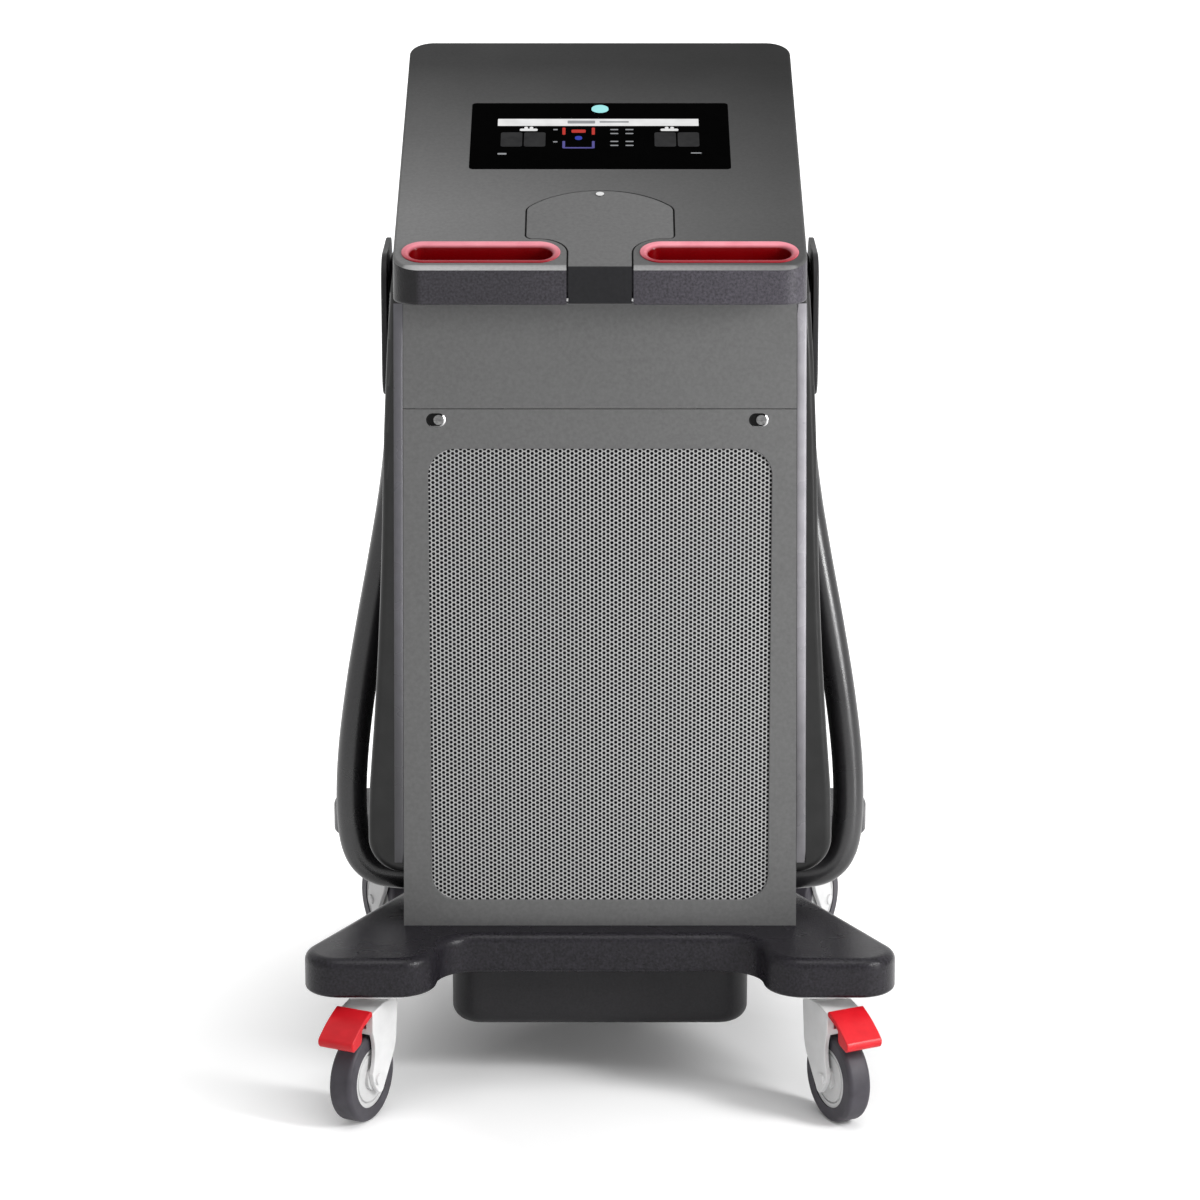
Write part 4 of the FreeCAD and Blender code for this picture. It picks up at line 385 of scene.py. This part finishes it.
def make_materials():
    return {
        "deck": grained("deck_plastic", 0.004, 0.018, 0.25, 620, 0.4, violet=0.3, shine=0.2),
        "tub": grained("tub_plastic", 0.014, 0.019, 0.46, 900, 0.12, shine=0.2),
        "front": powder_coat("front_paint", 0.100, 0.120, 0.5),
        "grille": powder_coat("grille_coat", 0.33, 0.40, 0.45),
        "filter": grained("filter_foam", 0.012, 0.024, 0.9, 500, 0.6, shine=0.1),
        "side": powder_coat("side_paint", 0.012, 0.018, 0.5),
        "cover": smooth_plastic("cover_plastic", grey(0.008), grey(0.013), 0.34, shine=0.25),
        "console": console_paint_and_painted_light(),
        "bar": bar_plastic_and_painted_shade(),
        "edge": edge_grey_and_painted_light(),
        "latch": metal("latch_metal", 0.10, 0.22, 0.3),
        # Near-black; on the strip in the lid's gap and in the latch wells it is painted shade.
        "rubber": smooth_plastic("near_black_and_painted_shade", grey(0.003), grey(0.006), 0.7, shine=0.1),
        "lid": lid_paint_and_painted_shade(),
        "liner": liner_plastic_and_painted_light(),
        "red": smooth_plastic("red_plastic", (0.42, 0.004, 0.016), (0.56, 0.008, 0.026), 0.3,
                              coat=0.3),
        "pedal": smooth_plastic("pedal_plastic", (0.50, 0.006, 0.012), (0.63, 0.010, 0.018), 0.32,
                                shine=0.3),
        "steel": metal("plain_steel", 0.5, 0.62, 0.34),
        "chrome": metal("bright_metal", 0.74, 0.82, 0.16),
        "glass": screen_glass(),
        "module": smooth_plastic("module_plastic", grey(0.010), grey(0.02), 0.5),
        "button": screen_light("button_light", (0.42, 0.95, 0.95), 0.9),
        "board": smooth_plastic("board_resin", (0.01, 0.10, 0.03), (0.02, 0.16, 0.05), 0.4),
        "tank": smooth_plastic("tank_plastic", grey(0.62), grey(0.72), 0.4),
        "jacket": grained("jacket_foam", 0.05, 0.09, 0.8, 300, 0.4),
        "aluminium": metal("plain_aluminium", 0.6, 0.7, 0.4),
        "black_metal": powder_coat("black_enamel", 0.010, 0.018, 0.3),
        "black_plastic": grained("black_plastic", 0.010, 0.016, 0.5, 900, 0.15),
        "hose": grained("hose_sleeve", 0.008, 0.016, 0.28, 800, 0.15, shine=0.6),
        "tyre": smooth_plastic("tyre_rubber", grey(0.036, 0.2), grey(0.056, 0.2), 0.5, shine=0.3),
        "hub": smooth_plastic("hub_plastic", grey(0.52), grey(0.60), 0.4),
        "fork": smooth_plastic("fork_coat", grey(0.66), grey(0.74), 0.35),
    }


SLOTS = {entry["node"]: entry["material_slot"] for entry in frame["record"]["subparts"]}
# Nodes that look different from the rest of their slot, by the start of their name.
OWN_FINISH = {"handle_bar": "bar", "caster_pedal": "pedal", "panel_latch": "latch",
              "slot_liner": "liner"}


def dress_nodes(finishes):
    """Gives each CAD node its material."""
    for name, node in nodes.items():
        finish = finishes[SLOTS[name]]
        for start, own in OWN_FINISH.items():
            if name.startswith(start):
                finish = finishes[own]
        node.data.materials.clear()
        node.data.materials.append(finish)


# ---- pieces ----

def new_piece(name, vertices, faces, finish, smooth=False):
    """A mesh that rides on the cart's body."""
    mesh = bpy.data.meshes.new(name)
    mesh.from_pydata(vertices, [], faces)
    mesh.materials.append(finish)
    for face in mesh.polygons:
        face.use_smooth = smooth
    piece = link_object(name, mesh)
    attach(piece, "cart")
    return piece


def sheet_faces(start, rows, columns):
    """Faces of an open sheet, whose corners come row by row."""
    return [(here, here + 1, here + columns + 1, here + columns)
            for row in range(rows - 1)
            for here in range(start + row * columns, start + (row + 1) * columns - 1)]


def tube_faces(start, rings, count):
    """Faces between closed rings of corners, with a cap on the last ring."""
    faces = []
    for ring in range(rings - 1):
        first = start + ring * count
        for step in range(count):
            here, there = first + step, first + (step + 1) % count
            faces.append((here, there, there + count, here + count))
    last = start + (rings - 1) * count
    return faces + [tuple(range(last, last + count))]


SCREW_STEPS = 18
# In millimetres: the distance to the screw's axis, or to a side of its socket, and the rise.
SCREW_HEAD = ((4.6, 0.0), (4.5, 0.6), (3.8, 1.5), (2.6, 2.1))
SCREW_SOCKET = ((1.6, 2.2), (1.5, 1.0))
REAR_SCREW_X = SIDE_FACE - 0.0145
REAR_SCREW_HEIGHTS = (0.215, 0.480, 0.745, 1.010)
SIDE_SCREW_Y = REAR_FACE - 0.018
SIDE_SCREW_HEIGHTS = (0.230, 0.490, 0.750, 1.005)


def screw_places():
    """Each screw's foot and the way it faces, round the rear wall and along both side walls."""
    corners = [(x, z) for x in (-REAR_SCREW_X, REAR_SCREW_X) for z in REAR_SCREW_HEIGHTS]
    corners += [(0, REAR_SCREW_HEIGHTS[0]), (0, REAR_SCREW_HEIGHTS[-1])]
    places = [(Vector((x, REAR_FACE, z)), Vector(BACK)) for x, z in corners]
    for side in (-1, 1):
        places += [(Vector((side * SIDE_FACE, SIDE_SCREW_Y, z)), Vector((side, 0, 0)))
                   for z in SIDE_SCREW_HEIGHTS]
    return places


def screw_rings():
    """The radius at each step round a screw and the rise, for each of its rings."""
    turns = [360 * step / SCREW_STEPS for step in range(SCREW_STEPS)]
    rings = [([radius] * SCREW_STEPS, rise) for radius, rise in SCREW_HEAD]
    for side, rise in SCREW_SOCKET:
        rings.append(([side / math.cos(math.radians(turn % 60 - 30)) for turn in turns], rise))
    return rings


def add_screws(finish):
    """Button-head screws with a hexagon socket."""
    up = Vector(UP)
    rings = screw_rings()
    vertices, faces = [], []
    for place, out in screw_places():
        across = up.cross(out)
        faces += tube_faces(len(vertices), len(rings), SCREW_STEPS)
        for radii, rise in rings:
            for step, radius in enumerate(radii):
                angle = 2 * math.pi * step / SCREW_STEPS
                spoke = across * math.cos(angle) + up * math.sin(angle)
                vertices.append(place + MM * (out * rise + spoke * radius))
    new_piece("wall_screws", vertices, faces, finish)


SOCKET_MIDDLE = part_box("mains_inlet")[0][0] + 0.024
SOCKET_HEIGHT = middle("mains_inlet")[2]
INLET_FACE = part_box("mains_inlet")[1][1]
# In millimetres: where each pin stands in the socket, and how deep behind the inlet's face its
# rings are, and half their width and height.
PIN_PLACES = ((-7, -2), (0, 2), (7, -2))
PIN_RINGS = ((18.2, 1.0, 2.0), (6.5, 1.0, 2.0), (5.5, 0.5, 1.3))


def add_mains_pins(finish):
    """The inlet's three flat contact pins, each with a bevelled tip."""
    vertices, faces = [], []
    for x, z in PIN_PLACES:
        faces += tube_faces(len(vertices), len(PIN_RINGS), 4)
        for deep, wide, high in PIN_RINGS:
            for sign_x, sign_z in ((-1, 1), (1, 1), (1, -1), (-1, -1)):
                vertices.append((SOCKET_MIDDLE + MM * (x + sign_x * wide),
                                 INLET_FACE - MM * deep,
                                 SOCKET_HEIGHT + MM * (z + sign_z * high)))
    new_piece("mains_pins", vertices, faces, finish)


HOLE_PITCH = 0.0050
HOLE_RADIUS = 0.0021
GRILLE_MARGIN = 0.0030
SHEET_INSET = 0.0002
SHEET_THICK = 0.0008


def add_grille(finish):
    """Sheet with staggered holes, one six-sided cell round each hole."""
    low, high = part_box("grille_mesh")
    front, back = low[1] + SHEET_INSET, low[1] + SHEET_INSET + SHEET_THICK
    column_pitch = HOLE_PITCH * math.sqrt(3) / 2
    columns = int((high[0] - low[0] - 2 * GRILLE_MARGIN) / column_pitch)
    rows = int((high[2] - low[2] - 2 * GRILLE_MARGIN) / HOLE_PITCH)
    cell = HOLE_PITCH / math.sqrt(3)
    vertices, faces = [], []
    for column in range(columns):
        x = (column - (columns - 1) / 2) * column_pitch
        stagger = 0.5 * (column % 2)
        for row in range(rows):
            z = (low[2] + high[2]) / 2 + (row - (rows - 1) / 2 + stagger) * HOLE_PITCH
            first = len(vertices)
            for turn in range(6):
                angle = math.radians(60 * turn)
                for radius, y in ((cell, front), (HOLE_RADIUS, front), (HOLE_RADIUS, back)):
                    vertices.append((x + radius * math.cos(angle), y,
                                     z + radius * math.sin(angle)))
            for turn in range(6):
                here, there = first + 3 * turn, first + 3 * ((turn + 1) % 6)
                faces.append((here, there, there + 1, here + 1))
                faces.append((here + 1, there + 1, there + 2, here + 2))
    sheet = new_piece("grille_sheet", vertices, faces, finish)
    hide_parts("grille_mesh")


PAD_SIDE_INSET, PAD_END_INSET = 0.0040, 0.0045
PAD_DEPTH = 0.0081
PAD_CELL = 0.0080
PAD_DIMPLE = 0.0025


def add_filter(finish):
    """Foam filter pad against the back of the grille, with rows of shallow dimples."""
    low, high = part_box("grille_mesh")
    half_width = high[0] - PAD_SIDE_INSET
    bottom, top = low[2] + PAD_END_INSET, high[2] - PAD_END_INSET
    columns = round(2 * half_width / PAD_CELL) + 1
    rows = round((top - bottom) / PAD_CELL) + 1
    vertices = []
    for row in range(rows):
        for column in range(columns):
            x = half_width * (2 * column / (columns - 1) - 1)
            z = bottom + (top - bottom) * row / (rows - 1)
            vertices.append((x, high[1] + PAD_DIMPLE * ((row + column) % 2), z))
    faces = sheet_faces(0, rows, columns)
    edge = list(range(columns))
    edge += [row * columns + columns - 1 for row in range(1, rows)]
    edge += [(rows - 1) * columns + column for column in reversed(range(columns - 1))]
    edge += [row * columns for row in reversed(range(1, rows - 1))]
    behind = len(vertices)
    vertices += [(vertices[corner][0], high[1] + PAD_DEPTH, vertices[corner][2])
                 for corner in edge]
    for here in range(len(edge)):
        there = (here + 1) % len(edge)
        faces.append((edge[there], edge[here], behind + here, behind + there))
    faces.append(tuple(behind + here for here in reversed(range(len(edge)))))
    new_piece("filter_pad", vertices, faces, finish)


LATCHES = [middle("panel_latch_" + side) for side in ("left", "right")]
WELL_RUN = 3                    # half the straight run of a latch's oval well, in millimetres
WELL_SHADE_STEPS = 32
# In millimetres: the radius of the oval's ends, and how far each ring stands out of the panel.
WELL_SHADE_PROFILE = ((7.5, 0.0), (7.3, 0.2), (6.9, 0.25), (6.6, 0.1), (6.2, -0.9), (5.6, -1.15))


def round_well(latch, angle, radius, out):
    """A place on an oval round a latch's well, which reaches from the latch to the left."""
    run = math.copysign(WELL_RUN, math.cos(angle)) - WELL_RUN
    return (latch[0] + MM * (run + radius * math.cos(angle)), FRONT_FACE - MM * out,
            latch[2] + MM * radius * math.sin(angle))


def add_latch_well_shades(finish):
    """Near-black piece in each latch's well, with a rolled lip on the panel's face: painted shade
    of a deep well.
    """
    vertices, faces = [], []
    for latch in LATCHES:
        faces += tube_faces(len(vertices), len(WELL_SHADE_PROFILE), WELL_SHADE_STEPS)
        for radius, out in WELL_SHADE_PROFILE:
            for step in range(WELL_SHADE_STEPS):
                angle = 2 * math.pi * (step + 0.5) / WELL_SHADE_STEPS
                vertices.append(round_well(latch, angle, radius, out))
    new_piece("latch_well_shades", vertices, faces, finish)


LIP_STEPS = 24
LIP_START, LIP_SWEEP = -115, 165        # in degrees, from the right and upwards
# In millimetres: the radii of its edges, its width, and how far it stands out of the panel.
LIP_RADIUS, LIP_OUTER_RADIUS = 7.4, 7.6
LIP_THIN, LIP_SWELL = 0.8, 1.2
LIP_EDGE, LIP_CREST = 0.1, 0.8


def add_latch_lips(finish):
    """Worn bare edge along the low right side of each latch's well, widest at the right."""
    vertices, faces = [], []
    for latch in LATCHES:
        faces += sheet_faces(len(vertices), LIP_STEPS + 1, 3)
        for step in range(LIP_STEPS + 1):
            angle = math.radians(LIP_START + LIP_SWEEP * step / LIP_STEPS)
            width = LIP_THIN + LIP_SWELL * max(0, math.cos(angle))
            for radius, out in ((LIP_RADIUS - width, LIP_EDGE),
                                (LIP_RADIUS - width / 2, LIP_CREST),
                                (LIP_OUTER_RADIUS, LIP_EDGE)):
                vertices.append(round_well(latch, angle, radius, out))
    new_piece("latch_lips", vertices, faces, finish)


PANEL_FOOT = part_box("front_panel")[0][2]
BEAD_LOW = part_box("side_cover_right")[0][2] + 0.013
BEAD_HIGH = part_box("console_shell")[0][2] - 0.010
BEAD_FOOT_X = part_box("front_panel")[1][0] + 0.0004
BEAD_LEAN = 0.0098              # how far the panel's edges lean in for each metre of height
BEAD_WIDTH, BEAD_RISE = 0.0100, 0.0018
BEAD_FULLNESS = 0.6             # below 1 the section is fuller than a sine arch
BEAD_TAPER = 0.1                # the share of the length that tapers off at each end
BEAD_STEPS, BEAD_ROWS = 8, 48


def add_edge_beads(finish):
    """Rounded bead down the front of each side cover, beside the front panel."""
    vertices, faces = [], []
    for side in (-1, 1):
        sheet = sheet_faces(len(vertices), BEAD_ROWS + 1, BEAD_STEPS + 1)
        faces += sheet if side > 0 else [face[::-1] for face in sheet]
        for row in range(BEAD_ROWS + 1):
            share = row / BEAD_ROWS
            z = BEAD_LOW + (BEAD_HIGH - BEAD_LOW) * share
            inner = BEAD_FOOT_X - BEAD_LEAN * (z - PANEL_FOOT)
            full = math.sqrt(min(1, share / BEAD_TAPER, (1 - share) / BEAD_TAPER))
            for step in range(BEAD_STEPS + 1):
                way = step / BEAD_STEPS
                arch = math.sin(math.pi * way) ** BEAD_FULLNESS
                vertices.append((side * (inner + BEAD_WIDTH * way),
                                 FRONT_FACE - BEAD_RISE * arch * full, z))
    new_piece("edge_beads", vertices, faces, finish, smooth=True)


# The lid's outline on the slope, in millimetres: its neck, shoulder arcs and wide round back.
NECK_HALF, NECK_START, NECK_TOP = 33.7, 3.0, 33.8
SHOULDER_RADIUS, SHOULDER_END = 32.6, 66.3
SIDE_HALF, SIDE_LOW, SIDE_HIGH = 79.0, 73.4, 131.41
LOW_RADIUS, HIGH_RADIUS = 7.0, 18.0
BACK_RADIUS, BACK_MIDDLE = 96.0, 82.8
# In millimetres: how far outside the lid, and how deep below the console's top.
GAP_SHADE_PROFILE = ((0.1, 1.5), (0.3, 0.9), (1.0, 0.7), (1.7, 0.9), (1.95, 1.5))


def arc(x, up, radius, start, end, steps):
    """Points on an arc of the slope, from one angle to another, in degrees."""
    angles = [math.radians(start + (end - start) * step / steps) for step in range(steps + 1)]
    return [(x + radius * math.cos(angle), up + radius * math.sin(angle)) for angle in angles]


def lid_outline(gap):
    """Right half of a line round the lid, from the bar up to the middle of the back."""
    meet = math.degrees(math.atan2(SIDE_HIGH - BACK_MIDDLE, SIDE_HALF - HIGH_RADIUS))
    line = [(NECK_HALF + gap, NECK_START)]
    line += arc(SHOULDER_END, NECK_TOP, SHOULDER_RADIUS - gap, 180, 90, steps=16)
    line += arc(SIDE_HALF - LOW_RADIUS, SIDE_LOW, LOW_RADIUS + gap, -90, 0, steps=8)
    line += arc(SIDE_HALF - HIGH_RADIUS, SIDE_HIGH, HIGH_RADIUS + gap, 0, meet, steps=8)
    return line + arc(0, BACK_MIDDLE, BACK_RADIUS + gap, meet, 90, steps=24)[1:]


def add_lid_gap_shade(finish):
    """Near-black strip in the gap round the lid, a little below the console's top: painted shade
    of the gap.
    """
    vertices = []
    for gap, depth in GAP_SHADE_PROFILE:
        half = lid_outline(gap)
        whole = half + [(-x, up) for x, up in reversed(half[:-1])]
        vertices += [on_slope(x, up, -depth) for x, up in whole]
    faces = sheet_faces(0, len(GAP_SHADE_PROFILE), len(vertices) // len(GAP_SHADE_PROFILE))
    new_piece("lid_gap_shade", vertices, faces, finish, smooth=True)


# ---- what the lit screen shows ----

PATCH_LIFT = 0.1                # how far a patch lies above the glass, in millimetres


def add_patches(name, patches, finish, layer=1):
    """Flat rounded patches, each (x, up the slope, width, height, corner) in millimetres."""
    vertices, faces = [], []
    for x, up, width, height, corner in patches:
        first = len(vertices)
        for sign_x, sign_y, start in ((1, 1, 0), (-1, 1, 90), (-1, -1, 180), (1, -1, 270)):
            middle_x = x + sign_x * (width / 2 - corner)
            middle_up = up + sign_y * (height / 2 - corner)
            vertices += [on_slope(across, along, layer * PATCH_LIFT) for across, along
                         in arc(middle_x, middle_up, corner, start, start + 90, steps=4)]
        faces.append(tuple(range(first, len(vertices))))
    new_piece(name, vertices, faces, finish)


def add_screen():
    """A title bar, two gauges and rows of plain marks."""
    white = screen_light("screen_white", (0.86, 0.86, 0.86))
    pale = screen_light("screen_pale", (0.45, 0.46, 0.48), 0.7)
    dim = screen_light("screen_dim", (0.016, 0.016, 0.017))
    red = screen_light("screen_red", (0.55, 0.03, 0.02))
    blue = screen_light("screen_blue", (0.03, 0.05, 0.45))
    violet = screen_light("screen_violet", (0.10, 0.09, 0.32))

    add_patches("screen_bar", [(-2, 349.4, 226, 18, 1)], white)
    add_patches("screen_tabs", [(-21, 350, 31, 7.5, 1), (16, 350.5, 33, 4, 1)], pale, layer=2)

    blocks = [(x, 306, 24, 36, 3) for x in (-99, -73, 73, 99)]
    add_patches("screen_blocks", blocks, dim)
    figures = [(x + off, 330.5 + rise, wide, 6, 2) for x in (-80, 78)
               for off, rise, wide in ((0, 0, 20), (-3, 5, 4), (3, 5, 4))]
    add_patches("screen_figures", figures, white)

    warm = [(x, 327, 3.5, 18, 1.5) for x in (-40.5, -7.5)] + [(-24, 327, 16, 8, 2)]
    add_patches("screen_warm", warm, red)
    add_patches("screen_dial", [(-24, 309.5, 8, 10, 3.5)], blue, layer=2)
    cool = [(x, 293, 3, 18, 1) for x in (-40.5, -7.5)] + [(-24, 285, 34, 3, 1)]
    add_patches("screen_cool", cool, violet)

    marks = [(x, up, 9, 2.8, 1) for x in (16, 33) for up in (331, 321, 301, 291)]
    marks += [(-50, up, 5, 3, 1) for up in (331, 300)]
    marks += [(-109, 270, 10, 4, 1), (107, 272, 12, 2.5, 1)]
    add_patches("screen_marks", marks, pale)


# ---- room and light ----

FLOOR_REACH = 30
# The floor glows more with distance from here, so that the shadow fades as in the photo.
SHADOW_MIDDLE = (0.1, -0.22, 0)
SHADOW_NEAR, SHADOW_FAR = 0.25, 0.85
GLOW_NEAR, GLOW_FAR = 0.04, 0.7


def backdrop_level(tree, lit, seen):
    """One level for what lights the object, one for what is seen, mirrored or looked through."""
    path = tree.nodes.new("ShaderNodeLightPath")
    level = path.outputs["Is Camera Ray"]
    for ray in ("Is Glossy Ray", "Is Transmission Ray"):
        both = tree.nodes.new("ShaderNodeMath")
        both.operation = "MAXIMUM"
        tree.links.new(level, both.inputs[0])
        tree.links.new(path.outputs[ray], both.inputs[1])
        level = both.outputs[0]
    spread = tree.nodes.new("ShaderNodeMapRange")
    for end, value in (("To Min", lit), ("To Max", seen)):
        if isinstance(value, float):
            spread.inputs[end].default_value = value
        else:
            tree.links.new(value, spread.inputs[end])
    tree.links.new(level, spread.inputs["Value"])
    return spread.outputs["Result"]


def add_room():
    """A pale floor, which keeps the cart's shadow."""
    mesh = bpy.data.meshes.new("floor")
    corners = [(x * FLOOR_REACH, y * FLOOR_REACH, 0)
               for x, y in ((-1, -1), (1, -1), (1, 1), (-1, 1))]
    mesh.from_pydata(corners, [], [(0, 1, 2, 3)])
    ground = link_object("floor", mesh)
    finish = Finish("floor_paint")
    finish.colour(finish.noise(3), grey(0.93), grey(0.95))
    finish.set(Roughness=0.9, Specular_IOR_Level=0.1, Emission_Color=(1, 1, 1, 1))
    away = finish.node("ShaderNodeVectorMath", operation="DISTANCE")
    away.inputs[1].default_value = SHADOW_MIDDLE
    finish.link(finish.place, away.inputs[0])
    glow = finish.map_range(away.outputs["Value"], SHADOW_NEAR, SHADOW_FAR, GLOW_NEAR, GLOW_FAR)
    seen = backdrop_level(finish.tree, 0.0, glow)
    finish.link(seen, finish.shader.inputs["Emission Strength"])
    mesh.materials.append(finish.material)


BRIGHT_SIDE = (0.85, -0.5, 0.15)
WORLD_DIM, WORLD_BRIGHT = 0.18, 0.80


def side_light(tree):
    """World light that is stronger from the front right than from the rear left."""
    place = tree.nodes.new("ShaderNodeTexCoord").outputs["Generated"]
    dot = tree.nodes.new("ShaderNodeVectorMath")
    dot.operation = "DOT_PRODUCT"
    dot.inputs[1].default_value = BRIGHT_SIDE
    tree.links.new(place, dot.inputs[0])
    level = tree.nodes.new("ShaderNodeMapRange")
    level.inputs["From Min"].default_value = -1
    level.inputs["To Min"].default_value = WORLD_DIM
    level.inputs["To Max"].default_value = WORLD_BRIGHT
    tree.links.new(dot.outputs["Value"], level.inputs["Value"])
    return level.outputs["Result"]


def add_world():
    """A white world, as bright behind the cart as a white backdrop."""
    world = bpy.data.worlds.new("studio")
    bpy.context.scene.world = world
    world.use_nodes = True
    tree = world.node_tree
    background = tree.nodes["Background"]
    background.inputs["Color"].default_value = (1, 1, 1, 1)
    level = backdrop_level(tree, side_light(tree), 1.0)
    tree.links.new(level, background.inputs["Strength"])


def aim(lamp, direction):
    lamp.rotation_euler = direction.to_track_quat("-Z", "Y").to_euler()


def add_sun(name, towards, strength, spread):
    """A far soft lamp; towards points from the object to the lamp."""
    data = bpy.data.lights.new(name, "SUN")
    data.energy = strength
    data.angle = math.radians(spread)
    aim(link_object(name, data), -Vector(towards))


def add_lamp(name, place, target, power, width, height):
    """A soft box that stands near the object."""
    data = bpy.data.lights.new(name, "AREA")
    data.shape = "RECTANGLE"
    data.size = width
    data.size_y = height
    data.energy = power
    lamp = link_object(name, data)
    lamp.location = place
    lamp.visible_camera = False
    aim(lamp, Vector(target) - Vector(place))


finishes = make_materials()
add_camera()
for side_name, side in (("left", -1), ("right", 1)):
    add_hose(side_name, side, finishes["hose"])
dress_nodes(finishes)
add_grille(finishes["grille"])
add_filter(finishes["filter"])
# Painted shade: near-black pieces in the latch wells.
add_latch_well_shades(finishes["rubber"])
add_latch_lips(finishes["steel"])
# Painted shade: a near-black strip in the gap round the lid.
add_lid_gap_shade(finishes["rubber"])
add_screws(finishes["steel"])
add_mains_pins(finishes["steel"])
add_edge_beads(finishes["edge"])
add_screen()
add_room()
add_world()
add_sun("top", (0.05, -0.24, 0.97), strength=0.8, spread=40)
add_lamp("key", (1.55, -1.15, 1.25), (0, -0.1, 0.45), power=28, width=0.4, height=0.7)
add_lamp("strip", (1.70, -1.30, 0.50), (0, -0.1, 0.6), power=6, width=0.25, height=0.95)
bpy.context.scene.view_settings.view_transform = "Standard"
